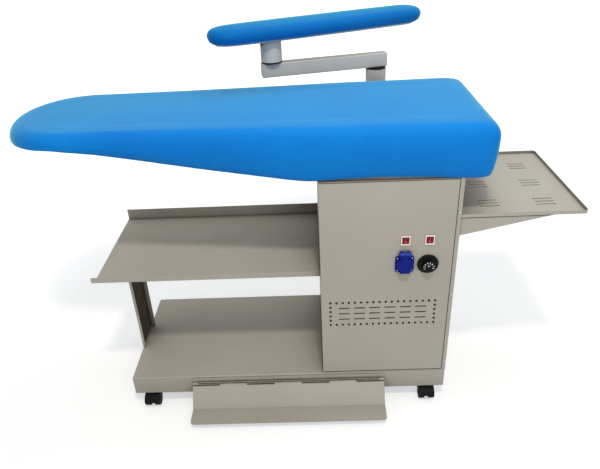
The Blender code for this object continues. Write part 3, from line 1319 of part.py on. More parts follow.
sleeve_plate = add_object("sleeve_plate", moved(new_skin(plate_rings(
    sleeve, SLEEVE_PLATE_INSET, sleeve_plate_low, sleeve_plate_high)), sleeve_place),
    ALUMINIUM, origin=hub_origin)
sleeve_holes = bmesh.new()
sleeve_start = SLEEVE_LEFT + SLEEVE_NOSE_MARGIN
sleeve_pitch = (SLEEVE_RIGHT - SLEEVE_TAIL_MARGIN - sleeve_start) / (SLEEVE_HOLE_COUNT - 1)
for hole in range(SLEEVE_HOLE_COUNT):
    spot = (sleeve_start + sleeve_pitch * hole, 0.0)
    cylinder(sleeve_holes, (*spot, sleeve_plate_low - OVERRUN),
             (*spot, sleeve_plate_high + OVERRUN), PLATE_HOLE_RADIUS, SEGMENTS_HOLE)
cut(sleeve_plate, moved(sleeve_holes, sleeve_place))
add_object("sleeve_foam", moved(new_skin(pad_rings(sleeve, sleeve_plate_high + SEAT)),
                                sleeve_place), FOAM, origin=hub_origin)
add_object("sleeve_cover", moved(new_skin(cover_rings(sleeve)), sleeve_place), COVER,
           origin=hub_origin)

# Iron rest: a slotted pan on two gussets beside the cabinet
tray_left = BASE_LENGTH + SEAT
tray_right = tray_left + TRAY_LENGTH


def tray_outline(draw_in):
    low = (tray_left + draw_in, TRAY_FRONT + draw_in)
    high = (tray_right - draw_in, TRAY_BACK - draw_in)
    radius = TRAY_CORNER - draw_in
    lower = arc((high[0] - radius, low[1] + radius), radius, -QUARTER, 0.0, TRAY_CORNER_STEPS)
    upper = arc((high[0] - radius, high[1] - radius), radius, 0.0, QUARTER, TRAY_CORNER_STEPS)
    return [low] + lower + upper + [(low[0], high[1])]


tray = add_object("iron_rest_tray", new_prism(along_z(tray_outline(0.0), TRAY_BOTTOM),
                                              (0.0, 0.0, TRAY_RIM - TRAY_BOTTOM)), PAINT)
cut(tray, new_prism(along_z(tray_outline(TRAY_SHEET), TRAY_BOTTOM + TRAY_SHEET),
                    (0.0, 0.0, TRAY_RIM - TRAY_BOTTOM + OVERRUN)))
slots = bmesh.new()
for column in TRAY_COLUMN_SHARES:
    for group in TRAY_GROUP_SHARES:
        for index in range(TRAY_SLOTS_IN_GROUP):
            y = (TRAY_FRONT + (TRAY_BACK - TRAY_FRONT) * group
                 + TRAY_SLOT_PITCH * (index - (TRAY_SLOTS_IN_GROUP - 1) / 2))
            slot = stadium((tray_left + TRAY_LENGTH * column, y), TRAY_SLOT_LENGTH, TRAY_SLOT_HALF,
                           SLOT_STEPS)
            prism(slots, along_z(slot, TRAY_BOTTOM - OVERRUN),
                  (0.0, 0.0, TRAY_SHEET + 2 * OVERRUN))
cut(tray, slots)
gusset_top = TRAY_BOTTOM - SEAT
for name, face, inward in (("front", TRAY_FRONT + GUSSET_INSET, 1),
                           ("rear", TRAY_BACK - GUSSET_INSET, -1)):
    triangle = [(tray_left, GUSSET_BOTTOM), (tray_left + GUSSET_REACH, gusset_top),
                (tray_left, gusset_top)]
    gusset = add_object("tray_gusset_" + name, new_prism(
        along_y(triangle, face), (0.0, inward * SHEET, 0.0)), PAINT)
    near, far = sorted((face + inward * SHEET / 2, face + inward * GUSSET_FLANGE))
    join(gusset, new_box((tray_left, near, GUSSET_BOTTOM + SHEET),
                         (tray_left + SHEET, far, gusset_top)))

# Foot pedal hinge: knuckles alternate between the fixed leaf and the pedal
knuckle_length = (PEDAL_RIGHT - PEDAL_LEFT) / KNUCKLES
hinge_bore = HINGE_PIN_RADIUS + HINGE_PIN_CLEARANCE


def knuckles(first):
    bm = bmesh.new()
    for index in range(first, KNUCKLES, 2):
        start = PEDAL_LEFT + knuckle_length * index
        cylinder(bm, (start + (KNUCKLE_GAP if index else 0.0), HINGE_Y, HINGE_Z),
                 (start + knuckle_length - (KNUCKLE_GAP if index < KNUCKLES - 1 else 0.0),
                  HINGE_Y, HINGE_Z), KNUCKLE_RADIUS, SEGMENTS_SMALL)
    return bm


def notches(first, low, high):
    bm = bmesh.new()
    for index in range(first, KNUCKLES, 2):
        start = PEDAL_LEFT + knuckle_length * index
        near = start - (KNUCKLE_GAP if index else OVERRUN)
        far = start + knuckle_length + (KNUCKLE_GAP if index < KNUCKLES - 1 else OVERRUN)
        box(bm, (near, low[0], low[1]), (far, high[0], high[1]))
    return bm


hinge_line = ((PEDAL_LEFT - OVERRUN, HINGE_Y, HINGE_Z), (PEDAL_RIGHT + OVERRUN, HINGE_Y, HINGE_Z))
knuckle_clear = KNUCKLE_RADIUS + KNUCKLE_GAP
leaf = add_object("pedal_hinge_leaf", new_box((PEDAL_LEFT, -SEAT - LEAF_SHEET, HINGE_Z),
                                              (PEDAL_RIGHT, -SEAT, LEAF_TOP)), PAINT)
cut(leaf, notches(1, (HINGE_Y, HINGE_Z - OVERRUN), (OVERRUN, HINGE_Z + knuckle_clear)))
join(leaf, knuckles(0))
cut(leaf, new_cylinder(*hinge_line, hinge_bore, SEGMENTS_SMALL))
add_object("pedal_hinge_pin", new_cylinder((PEDAL_LEFT, HINGE_Y, HINGE_Z),
                                           (PEDAL_RIGHT, HINGE_Y, HINGE_Z),
                                           HINGE_PIN_RADIUS, SEGMENTS_SMALL), STEEL)

# Pedal: a sloping face from the hinge down to a level foot lip
face_top = (HINGE_Y - KNUCKLE_RADIUS + FINE_EDGE / 2, HINGE_Z - FINE_EDGE / 2)
face_run = (PEDAL_FOOT_Y - face_top[0], PEDAL_FOOT_Z - face_top[1])
face_length = math.hypot(*face_run)
face_along = (face_run[0] / face_length, face_run[1] / face_length)
back_top = (face_top[0] - face_along[1] * PEDAL_SHEET, face_top[1] + face_along[0] * PEDAL_SHEET)


def pedal_back(z):
    return back_top[0] + face_along[0] * (z - back_top[1]) / face_along[1]


lip_under = PEDAL_FOOT_Z - PEDAL_SHEET
pedal_section = [
    face_top, (PEDAL_FOOT_Y, PEDAL_FOOT_Z), (PEDAL_LIP_Y, PEDAL_FOOT_Z), (PEDAL_LIP_Y, lip_under),
    (pedal_back(lip_under), lip_under), back_top,
]
pedal_mesh = new_prism(along_x(pedal_section, PEDAL_LEFT), (PEDAL_RIGHT - PEDAL_LEFT, 0.0, 0.0))
lip_corners = [edge for edge in pedal_mesh.edges
               if all(abs(vert.co.y - PEDAL_LIP_Y) < FINE_EDGE for vert in edge.verts)
               and abs(edge.verts[0].co.x - edge.verts[1].co.x) < FINE_EDGE]
bmesh.ops.bevel(pedal_mesh, geom=lip_corners, offset=PEDAL_CORNER, segments=PEDAL_CORNER_STEPS,
                profile=ROUND_PROFILE, affect="EDGES")
hinge_origin = (PEDAL_MIDDLE, HINGE_Y, HINGE_Z)
pedal = add_object("foot_pedal", pedal_mesh, PAINT, origin=hinge_origin)
cut(pedal, notches(0, (HINGE_Y - 2 * knuckle_clear, HINGE_Z - knuckle_clear),
                   (HINGE_Y + 2 * knuckle_clear, HINGE_Z + knuckle_clear)))
join(pedal, knuckles(1))
cut(pedal, new_cylinder(*hinge_line, hinge_bore, SEGMENTS_SMALL))

# Plunger behind the pedal, its return spring and the switch it presses
block_low, block_high = PLUNGER_Z - PLUNGER_BLOCK_HALF, PLUNGER_Z + PLUNGER_BLOCK_HALF
block_section = [
    (pedal_back(block_low) + 2 * SEAT, block_low), (PLUNGER_COLLAR_Y, block_low),
    (PLUNGER_COLLAR_Y, block_high), (pedal_back(block_high) + 2 * SEAT, block_high),
]
plunger = add_object("pedal_plunger", new_prism(
    along_x(block_section, PLUNGER_X - PLUNGER_BLOCK_HALF), (2 * PLUNGER_BLOCK_HALF, 0.0, 0.0)),
    RUBBER, origin=hinge_origin)
join(plunger, new_cylinder((PLUNGER_X, PLUNGER_COLLAR_Y - PLUNGER_COLLAR, PLUNGER_Z),
                           (PLUNGER_X, PLUNGER_COLLAR_Y, PLUNGER_Z),
                           PLUNGER_COLLAR_RADIUS, SEGMENTS_SMALL))
join(plunger, new_cylinder((PLUNGER_X, PLUNGER_COLLAR_Y - PLUNGER_COLLAR / 2, PLUNGER_Z),
                           (PLUNGER_X, PLUNGER_TIP_Y, PLUNGER_Z), PLUNGER_RADIUS, SEGMENTS_SMALL))
spring_start = PLUNGER_COLLAR_Y + SPRING_WIRE + SPRING_END_GAP
spring_end = -SPRING_WIRE - SPRING_END_GAP
coil = bpy.data.curves.new("pedal_spring", "CURVE")
coil.dimensions = "3D"
coil.bevel_depth = SPRING_WIRE
coil.bevel_resolution = 0
coil.use_fill_caps = True
spline = coil.splines.new("POLY")
spring_points = SPRING_TURNS * SPRING_STEPS
spline.points.add(spring_points)
for index, point in enumerate(spline.points):
    share = index / spring_points
    angle = FULL_TURN * SPRING_TURNS * share
    point.co = (PLUNGER_X + SPRING_RADIUS * math.cos(angle),
                spring_start + (spring_end - spring_start) * share,
                PLUNGER_Z + SPRING_RADIUS * math.sin(angle), 1.0)
coil.materials.append(STEEL)
pedal_spring = bpy.data.objects.new("pedal_spring", coil)
bpy.context.scene.collection.objects.link(pedal_spring)
pedal_spring.parent = ROOT
micro_back = MICRO_FRONT_Y + MICRO_DEPTH
micro = add_object("pedal_switch", new_box(
    (PLUNGER_X - MICRO_HALF_WIDTH, MICRO_FRONT_Y, PLUNGER_Z - MICRO_HALF_HEIGHT),
    (PLUNGER_X + MICRO_HALF_WIDTH, micro_back, PLUNGER_Z + MICRO_HALF_HEIGHT)), RUBBER,
    bevel=FINE_EDGE)
join(micro, new_cylinder((PLUNGER_X, MICRO_BUTTON_Y, PLUNGER_Z),
                         (PLUNGER_X, MICRO_FRONT_Y + FINE_EDGE, PLUNGER_Z),
                         MICRO_BUTTON_RADIUS, SEGMENTS_SMALL))
bracket_front = micro_back + SEAT
bracket_top = deck_under - SEAT
bracket_section = [
    (bracket_front, PLUNGER_Z - MICRO_HALF_HEIGHT), (bracket_front + SHEET, PLUNGER_Z - MICRO_HALF_HEIGHT),
    (bracket_front + SHEET, bracket_top - SHEET),
    (bracket_front + MICRO_BRACKET_FLANGE, bracket_top - SHEET),
    (bracket_front + MICRO_BRACKET_FLANGE, bracket_top), (bracket_front, bracket_top),
]
add_object("pedal_switch_bracket", new_prism(
    along_x(bracket_section, PLUNGER_X - MICRO_BRACKET_HALF), (2 * MICRO_BRACKET_HALF, 0.0, 0.0)),
    STEEL)

# Rocker switches
for name, x in SWITCH_XS:
    housing = add_object("switch_housing_" + name, new_box(
        (x - BEZEL_HALF_WIDTH, -SEAT - BEZEL_DEPTH, SWITCH_Z - BEZEL_HALF_HEIGHT),
        (x + BEZEL_HALF_WIDTH, -SEAT, SWITCH_Z + BEZEL_HALF_HEIGHT)), IVORY, bevel=FINE_EDGE)
    join(housing, new_box(
        (x - SWITCH_BODY_HALF_WIDTH, -SEAT - FINE_EDGE, SWITCH_Z - SWITCH_BODY_HALF_HEIGHT),
        (x + SWITCH_BODY_HALF_WIDTH, SWITCH_BODY_DEPTH, SWITCH_Z + SWITCH_BODY_HALF_HEIGHT)))
    cut(housing, new_box(
        (x - SWITCH_WELL_HALF_WIDTH, -SEAT - BEZEL_DEPTH - OVERRUN,
         SWITCH_Z - SWITCH_WELL_HALF_HEIGHT),
        (x + SWITCH_WELL_HALF_WIDTH, SWITCH_WELL_DEPTH, SWITCH_Z + SWITCH_WELL_HALF_HEIGHT)))
    half_width = SWITCH_WELL_HALF_WIDTH - ROCKER_CLEARANCE
    corners = (
        (ROCKER_TIP_RADIUS, ROCKER_TIP_ANGLE), (ROCKER_SIDE_RADIUS, ROCKER_SIDE_ANGLE),
        (ROCKER_BACK_RADIUS, ROCKER_BACK_ANGLE),
    )
    upper = [(ROCKER_PIVOT_Y - radius * math.cos(angle), SWITCH_Z + radius * math.sin(angle))
             for radius, angle in corners]
    lower = [(y, 2 * SWITCH_Z - z) for y, z in reversed(upper)]
    section = [(ROCKER_PIVOT_Y - ROCKER_DISH, SWITCH_Z)] + upper + lower
    turn = (Matrix.Translation((0.0, ROCKER_PIVOT_Y, SWITCH_Z))
            @ Matrix.Rotation(ROCKER_TILT, 4, "X")
            @ Matrix.Translation((0.0, -ROCKER_PIVOT_Y, -SWITCH_Z)))
    add_object("switch_rocker_" + name, moved(new_prism(
        along_x(section, x - half_width), (2 * half_width, 0.0, 0.0)), turn), RED,
        origin=(x, ROCKER_PIVOT_Y, SWITCH_Z))

# Iron socket: flange, collar, barrel and well, with ears for the lid pin
flange_front = -SEAT - SOCKET_FLANGE
collar_front = flange_front - SOCKET_COLLAR
socket_outline = rounded((SOCKET_X - SOCKET_HALF_WIDTH, SOCKET_Z - SOCKET_HALF_HEIGHT),
                         (SOCKET_X + SOCKET_HALF_WIDTH, SOCKET_Z + SOCKET_HALF_HEIGHT),
                         SOCKET_CORNER, SOCKET_CORNER_STEPS)
socket = add_object("socket_body", new_prism(along_y(socket_outline, flange_front),
                                             (0.0, SOCKET_FLANGE, 0.0)), BLUE)
join(socket, new_cylinder((SOCKET_X, collar_front, SOCKET_Z),
                          (SOCKET_X, flange_front + FINE_EDGE, SOCKET_Z),
                          SOCKET_COLLAR_RADIUS, SEGMENTS_LARGE))
join(socket, new_cylinder((SOCKET_X, flange_front + FINE_EDGE, SOCKET_Z),
                          (SOCKET_X, SOCKET_BARREL_DEPTH, SOCKET_Z),
                          SOCKET_BARREL_RADIUS, SEGMENTS_LARGE))
hinge_z = SOCKET_Z + LID_HINGE_RISE
ear_start = LID_KNUCKLE_HALF + LID_SIDE_GAP
ears = bmesh.new()
for side in (-1, 1):
    near, far = sorted((SOCKET_X + side * ear_start, SOCKET_X + side * (ear_start + LID_EAR_WIDTH)))
    box(ears, (near, LID_HINGE_Y - LID_EAR_FRONT, SOCKET_Z + LID_EAR_BOTTOM),
        (far, -SEAT, hinge_z + LID_KNUCKLE_RADIUS))
join(socket, ears)
well_back = collar_front + SOCKET_WELL_DEPTH
socket_bores = bmesh.new()
cylinder(socket_bores, (SOCKET_X, collar_front - OVERRUN, SOCKET_Z), (SOCKET_X, well_back, SOCKET_Z),
         SOCKET_WELL_RADIUS, SEGMENTS_LARGE)
cut(socket, socket_bores)
contacts = bmesh.new()
for side in (-1, 1):
    x = SOCKET_X + side * CONTACT_SPREAD
    cylinder(contacts, (x, well_back - OVERRUN, SOCKET_Z), (x, well_back + CONTACT_DEPTH, SOCKET_Z),
             CONTACT_RADIUS, SEGMENTS_HOLE)
pin_reach = ear_start + LID_EAR_WIDTH
cylinder(contacts, (SOCKET_X - pin_reach - OVERRUN, LID_HINGE_Y, hinge_z),
         (SOCKET_X + pin_reach + OVERRUN, LID_HINGE_Y, hinge_z),
         LID_PIN_RADIUS + LID_PIN_CLEARANCE, SEGMENTS_SMALL)
cut(socket, contacts)
add_object("lid_pin", new_cylinder((SOCKET_X - pin_reach, LID_HINGE_Y, hinge_z),
                                   (SOCKET_X + pin_reach, LID_HINGE_Y, hinge_z),
                                   LID_PIN_RADIUS, SEGMENTS_SMALL), STEEL)
lid_back = collar_front - SEAT
lid_front = lid_back - LID_THICKNESS
lid_place = Matrix.Translation((SOCKET_X, 0.0, SOCKET_Z)) @ aim((0.0, -1.0, 0.0))
lid_mesh = bmesh.new()
turned(lid_mesh, (
    (0.0, -lid_back), (LID_RADIUS, -lid_back), (LID_RADIUS, -lid_front),
    (LID_DOME_RADIUS + LID_DOME, -lid_front), (LID_DOME_RADIUS, LID_DOME - lid_front),
    (0.0, LID_DOME - lid_front),
), lid_place, SEGMENTS_LARGE)
lid_origin = (SOCKET_X, LID_HINGE_Y, hinge_z)
lid = add_object("socket_lid", lid_mesh, BLUE, origin=lid_origin)
strap_front = lid_front - LID_STRAP_DEPTH
strap_back = lid_front + FINE_EDGE
strap_top = SOCKET_Z + LID_STRAP_RISE
join(lid, new_box((SOCKET_X - LID_STRAP_HALF, strap_front, SOCKET_Z - LID_STRAP_DROP),
                  (SOCKET_X + LID_STRAP_HALF, strap_back, strap_top)))
neck_low = strap_top - LID_KNUCKLE_RADIUS
neck_section = [
    (strap_front + SEAT, neck_low), (strap_back - SEAT, neck_low), (LID_HINGE_Y, hinge_z),
    (LID_HINGE_Y - LID_KNUCKLE_RADIUS + SEAT, hinge_z), (strap_front + SEAT, strap_top),
]
join(lid, new_prism(along_x(neck_section, SOCKET_X - LID_KNUCKLE_HALF),
                    (2 * LID_KNUCKLE_HALF, 0.0, 0.0)))
join(lid, new_cylinder((SOCKET_X - LID_KNUCKLE_HALF, LID_HINGE_Y, hinge_z),
                       (SOCKET_X + LID_KNUCKLE_HALF, LID_HINGE_Y, hinge_z),
                       LID_KNUCKLE_RADIUS, SEGMENTS_SMALL))
cut(lid, new_cylinder((SOCKET_X - pin_reach, LID_HINGE_Y, hinge_z),
                      (SOCKET_X + pin_reach, LID_HINGE_Y, hinge_z),
                      LID_PIN_RADIUS + LID_PIN_CLEARANCE, SEGMENTS_SMALL))

# Thermostat behind the panel and its fluted dial
thermostat_front = SHEET + SEAT
thermostat = add_object("thermostat_body", new_box(
    (DIAL_X - THERMOSTAT_HALF_WIDTH, thermostat_front, DIAL_Z - THERMOSTAT_HALF_HEIGHT),
    (DIAL_X + THERMOSTAT_HALF_WIDTH, thermostat_front + THERMOSTAT_DEPTH,
     DIAL_Z + THERMOSTAT_HALF_HEIGHT)), STEEL, bevel=FINE_EDGE)
join(thermostat, new_cylinder((DIAL_X, -FINE_EDGE, DIAL_Z),
                              (DIAL_X, thermostat_front + FINE_EDGE * 2, DIAL_Z),
                              THERMOSTAT_NECK_RADIUS, SEGMENTS_SMALL))
join(thermostat, new_cylinder((DIAL_X, -DIAL_SHAFT_REACH, DIAL_Z),
                              (DIAL_X, FINE_EDGE, DIAL_Z),
                              DIAL_SHAFT_RADIUS, SEGMENTS_SMALL))
dial_bore = DIAL_SHAFT_RADIUS + DIAL_SHAFT_CLEARANCE
skirt_top = DIAL_STANDOFF + DIAL_SKIRT
dial_mesh = bmesh.new()
turned(dial_mesh, (
    (0.0, DIAL_SHAFT_REACH + SEAT), (dial_bore, DIAL_SHAFT_REACH + SEAT),
    (dial_bore, DIAL_STANDOFF), (DIAL_SKIRT_RADIUS, DIAL_STANDOFF),
    (DIAL_SKIRT_RADIUS, skirt_top - FINE_EDGE), (DIAL_SKIRT_RADIUS - FINE_EDGE, skirt_top),
    (DIAL_GRIP_RADIUS, skirt_top), (DIAL_GRIP_TOP_RADIUS, skirt_top + DIAL_GRIP - FINE_EDGE),
    (DIAL_GRIP_TOP_RADIUS - FINE_EDGE, skirt_top + DIAL_GRIP), (0.0, skirt_top + DIAL_GRIP),
), Matrix.Translation((DIAL_X, 0.0, DIAL_Z)) @ aim((0.0, -1.0, 0.0)), DIAL_SEGMENTS,
    flute=DIAL_FLUTE, flutes=DIAL_FLUTES, fluted=(6, 7, 8))
add_object("thermostat_dial", dial_mesh, RUBBER, origin=(DIAL_X, -DIAL_STANDOFF, DIAL_Z))

# Mains cable gland through the back panel
gland_mesh = bmesh.new()
cylinder(gland_mesh, (GLAND_X, back_front - GLAND_INSIDE, GLAND_Z),
         (GLAND_X, back_back + GLAND_NUT, GLAND_Z), GLAND_THREAD_RADIUS, SEGMENTS_MEDIUM)
gland = add_object("cable_gland", gland_mesh, RUBBER)
join(gland, new_cylinder((GLAND_X, back_back + SEAT, GLAND_Z),
                         (GLAND_X, back_back + SEAT + GLAND_NUT, GLAND_Z), GLAND_NUT_RADIUS,
                         GLAND_NUT_SIDES))
join(gland, new_cylinder((GLAND_X, back_back + GLAND_NUT / 2, GLAND_Z),
                         (GLAND_X, back_back + SEAT + GLAND_NUT + GLAND_DOME, GLAND_Z),
                         GLAND_DOME_RADIUS, SEGMENTS_MEDIUM))
cut(gland, new_cylinder((GLAND_X, back_front - GLAND_INSIDE - OVERRUN, GLAND_Z),
                        (GLAND_X, back_back + GLAND_NUT + GLAND_DOME + OVERRUN, GLAND_Z),
                        GLAND_BORE, SEGMENTS_SMALL))

# Move everything so that the bounds stand centred on the origin at floor level
bpy.context.view_layer.update()
graph = bpy.context.evaluated_depsgraph_get()
corners = []
for item in bpy.context.scene.objects:
    if item.type in {"MESH", "CURVE"} and not item.hide_render:
        shown = item.evaluated_get(graph)
        mesh = shown.to_mesh()
        corners += [shown.matrix_world @ vert.co for vert in mesh.vertices]
        shown.to_mesh_clear()
low = Vector([min(corner[axis] for corner in corners) for axis in range(3)])
high = Vector([max(corner[axis] for corner in corners) for axis in range(3)])
ROOT.location = (-(low.x + high.x) / 2, -(low.y + high.y) / 2, -low.z)
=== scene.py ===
import json
import math

import bmesh
import bpy
import numpy as np
from mathutils import Matrix, Vector, noise
from mathutils.bvhtree import BVHTree


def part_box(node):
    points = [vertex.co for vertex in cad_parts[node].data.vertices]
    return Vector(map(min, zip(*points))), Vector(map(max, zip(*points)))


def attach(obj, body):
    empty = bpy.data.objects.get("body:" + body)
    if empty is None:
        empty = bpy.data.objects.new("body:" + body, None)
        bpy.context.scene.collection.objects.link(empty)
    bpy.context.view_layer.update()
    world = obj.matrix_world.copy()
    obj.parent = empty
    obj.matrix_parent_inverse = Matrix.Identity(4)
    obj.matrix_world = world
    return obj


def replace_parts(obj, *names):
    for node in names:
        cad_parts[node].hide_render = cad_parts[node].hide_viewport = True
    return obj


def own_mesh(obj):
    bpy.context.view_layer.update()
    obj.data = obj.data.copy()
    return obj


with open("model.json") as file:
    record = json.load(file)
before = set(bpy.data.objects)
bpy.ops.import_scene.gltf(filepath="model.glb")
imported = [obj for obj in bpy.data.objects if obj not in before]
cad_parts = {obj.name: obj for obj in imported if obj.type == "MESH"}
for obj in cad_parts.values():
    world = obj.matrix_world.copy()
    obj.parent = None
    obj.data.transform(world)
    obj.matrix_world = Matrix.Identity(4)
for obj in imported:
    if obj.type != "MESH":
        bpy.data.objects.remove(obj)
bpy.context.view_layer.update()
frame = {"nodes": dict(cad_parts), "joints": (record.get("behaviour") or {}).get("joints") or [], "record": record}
nodes = frame["nodes"]

# The CAD is laid out from the base tray's left front corner, then moved to the middle of its bounds
tray_low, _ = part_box("base_tray")
SHIFT = Vector((tray_low[0], tray_low[1], 0.0))


def at(x, y, z):
    return Vector((x, y, z)) + SHIFT


# Camera, fitted to the straight edges of the cabinet, the base, the shelf and the iron rest
YAW, PITCH, ROLL = math.radians(-1.724), math.radians(29.888), math.radians(2.778)
EYE = at(0.5965, -1.3731, 1.4099)
SENSOR_MM, LENS_MM, CLIP_END = 36.0, 34.956, 60.0
forward = Vector((math.sin(YAW) * math.cos(PITCH), math.cos(YAW) * math.cos(PITCH), -math.sin(PITCH)))
right = Vector((math.cos(YAW), -math.sin(YAW), 0.0))
down = forward.cross(right)
across = right * math.cos(ROLL) + down * math.sin(ROLL)
below = down * math.cos(ROLL) - right * math.sin(ROLL)
camera_data = bpy.data.cameras.new("camera")
camera_data.sensor_width = SENSOR_MM
camera_data.lens = LENS_MM
camera_data.clip_end = CLIP_END
camera = bpy.data.objects.new("camera", camera_data)
bpy.context.scene.collection.objects.link(camera)
turn = Matrix((across, -below, -forward)).transposed().to_4x4()
camera.matrix_world = Matrix.Translation(EYE) @ turn
bpy.context.scene.camera = camera

bpy.context.scene.view_settings.view_transform = "Standard"


# Materials
# At scale 1 a wave texture repeats every pi/10, so these coordinates put the threads 1.8 mm apart
THREAD_SCALE = 1 / 6.2832 / 0.0009
# How far the painted shade reaches out of corners and out of crevices, and how wide worn and soft edges are
SHADE_REACH, CREVICE_REACH, WORN_EDGE, SOFT_EDGE = 0.16, 0.010, 0.0012, 0.0008


class Nodes:
    """A material's node tree with short calls for what the materials below repeat."""

    def __init__(self, name):
        self.material = bpy.data.materials.new(name)
        self.material.use_nodes = True
        self.tree = self.material.node_tree
        self.shader = self.tree.nodes["Principled BSDF"]
        self.coords = self.add("ShaderNodeTexCoord").outputs["Object"]

    def add(self, kind, **values):
        node = self.tree.nodes.new(kind)
        for key, value in values.items():
            setattr(node, key, value)
        return node

    def link(self, source, target):
        self.tree.links.new(source, target)

    def scaled(self, scale):
        node = self.add("ShaderNodeMapping")
        node.inputs["Scale"].default_value = scale
        self.link(self.coords, node.inputs["Vector"])
        return node.outputs["Vector"]

    def noise(self, scale, detail=2.0, roughness=0.5, vector=None):
        node = self.add("ShaderNodeTexNoise")
        node.inputs["Scale"].default_value = scale
        node.inputs["Detail"].default_value = detail
        node.inputs["Roughness"].default_value = roughness
        self.link(vector or self.coords, node.inputs["Vector"])
        return node.outputs["Fac"]

    def wave(self, scale, vector, direction="X"):
        node = self.add("ShaderNodeTexWave", bands_direction=direction)
        node.inputs["Scale"].default_value = scale
        self.link(vector, node.inputs["Vector"])
        return node.outputs["Fac"]

    def math(self, operation, one, two=0.5, clamp=False):
        node = self.add("ShaderNodeMath", operation=operation, use_clamp=clamp)
        for socket, value in zip(node.inputs, (one, two)):
            if isinstance(value, (int, float)):
                socket.default_value = value
            else:
                self.link(value, socket)
        return node.outputs[0]

    def spread(self, value, low, high, new_low, new_high):
        node = self.add("ShaderNodeMapRange")
        for key, number in zip(("From Min", "From Max", "To Min", "To Max"),
                               (low, high, new_low, new_high)):
            node.inputs[key].default_value = number
        self.link(value, node.inputs["Value"])
        return node.outputs["Result"]

    def mix(self, factor, one, two):
        node = self.add("ShaderNodeMix", data_type="RGBA")
        self.link(factor, node.inputs["Factor"])
        for socket, value in ((node.inputs["A"], one), (node.inputs["B"], two)):
            if isinstance(value, tuple):
                socket.default_value = (*value, 1.0)
            else:
                self.link(value, socket)
        return node.outputs["Result"]

    def mottled(self, value, one, two):
        """Two colours in soft patches, from a noise value."""
        return self.mix(self.spread(value, 0.3, 0.7, 0.0, 1.0), one, two)

    def bump(self, height, distance, strength=1.0, normal=None):
        node = self.add("ShaderNodeBump")
        node.inputs["Strength"].default_value = strength
        node.inputs["Distance"].default_value = distance
        self.link(height, node.inputs["Height"])
        if normal:
            self.link(normal, node.inputs["Normal"])
        return node.outputs["Normal"]

    def rounded(self, radius):
        node = self.add("ShaderNodeBevel", samples=4)
        node.inputs["Radius"].default_value = radius
        return node.outputs["Normal"]

    def edges(self, radius):
        """Near 1 on the edges and 0 on the flats, from the rounded and the plain normal."""
        wide = self.rounded(radius)
        plain = self.add("ShaderNodeNewGeometry").outputs["Normal"]
        dot = self.add("ShaderNodeVectorMath", operation="DOT_PRODUCT")
        self.link(wide, dot.inputs[0])
        self.link(plain, dot.inputs[1])
        return self.spread(dot.outputs["Value"], 0.995, 0.86, 0.0, 1.0)

    def hollows(self, reach):
        """0 on open faces, towards 1 in corners and channels: the mask of the painted shade."""
        node = self.add("ShaderNodeAmbientOcclusion", samples=6)
        node.inputs["Distance"].default_value = reach
        return self.spread(node.outputs["AO"], 0.25, 0.85, 1.0, 0.0)

    def finish(self, colour, roughness, normal=None, metallic=0.0, **fixed):
        for name, value in (("Base Color", colour), ("Roughness", roughness)):
            socket = self.shader.inputs[name]
            if isinstance(value, tuple):
                socket.default_value = (*value, 1.0)
            elif isinstance(value, (int, float)):
                socket.default_value = value
            else:
                self.link(value, socket)
        self.shader.inputs["Metallic"].default_value = metallic
        if normal:
            self.link(normal, self.shader.inputs["Normal"])
        for name, value in fixed.items():
            self.shader.inputs[name.replace("_", " ")].default_value = value
        return self.material


def srgb(red, green, blue):
    return tuple(((v / 255 + 0.055) / 1.055) ** 2.4 if v > 10 else v / 255 / 12.92
                 for v in (red, green, blue))


def powder_coat(name="powder_coat_grey", dark=srgb(169, 163, 152), light=srgb(176, 171, 161)):
    n = Nodes(name)
    broad = n.noise(3.0, 3.0)
    fine = n.noise(900.0, 2.0)
    speck = n.noise(260.0, 3.0, 0.6)
    base = n.mottled(broad, dark, light)
    base = n.mix(n.spread(speck, 0.60, 0.78, 0.0, 0.16), base, srgb(150, 143, 132))
    # Painted shade: dark brown in corners, under parts and between them, in uneven patches, and near black in
    # narrow crevices
    patches = n.spread(n.noise(9.0, 3.0), 0.2, 0.8, 0.55, 0.85)
    corner_shade = n.math("MULTIPLY", n.hollows(SHADE_REACH), patches)
    base = n.mix(corner_shade, base, srgb(84, 77, 66))
    base = n.mix(n.math("MULTIPLY", n.hollows(CREVICE_REACH), 0.8), base, srgb(52, 47, 41))
    rubbed = n.spread(n.noise(70.0, 4.0, 0.7), 0.42, 0.72, 0.0, 0.45)
    wear = n.math("MULTIPLY", n.edges(WORN_EDGE), rubbed)
    base = n.mix(wear, base, srgb(206, 201, 192))
    rough = n.spread(n.noise(14.0, 3.0), 0.3, 0.7, 0.44, 0.58)
    normal = n.bump(fine, 0.00006, 1.0, n.rounded(SOFT_EDGE))
    return n.finish(base, rough, normal, Specular_IOR_Level=0.35)


def zinc():
    n = Nodes("zinc_plated_steel")
    grain = n.noise(60.0, 4.0, 0.6, n.scaled((1.0, 14.0, 14.0)))
    base = n.mottled(grain, srgb(176, 178, 180), srgb(204, 205, 203))
    rough = n.spread(n.noise(40.0, 4.0), 0.3, 0.7, 0.28, 0.45)
    return n.finish(base, rough, n.bump(grain, 0.00004, 1.0, n.rounded(0.0006)), 0.9)


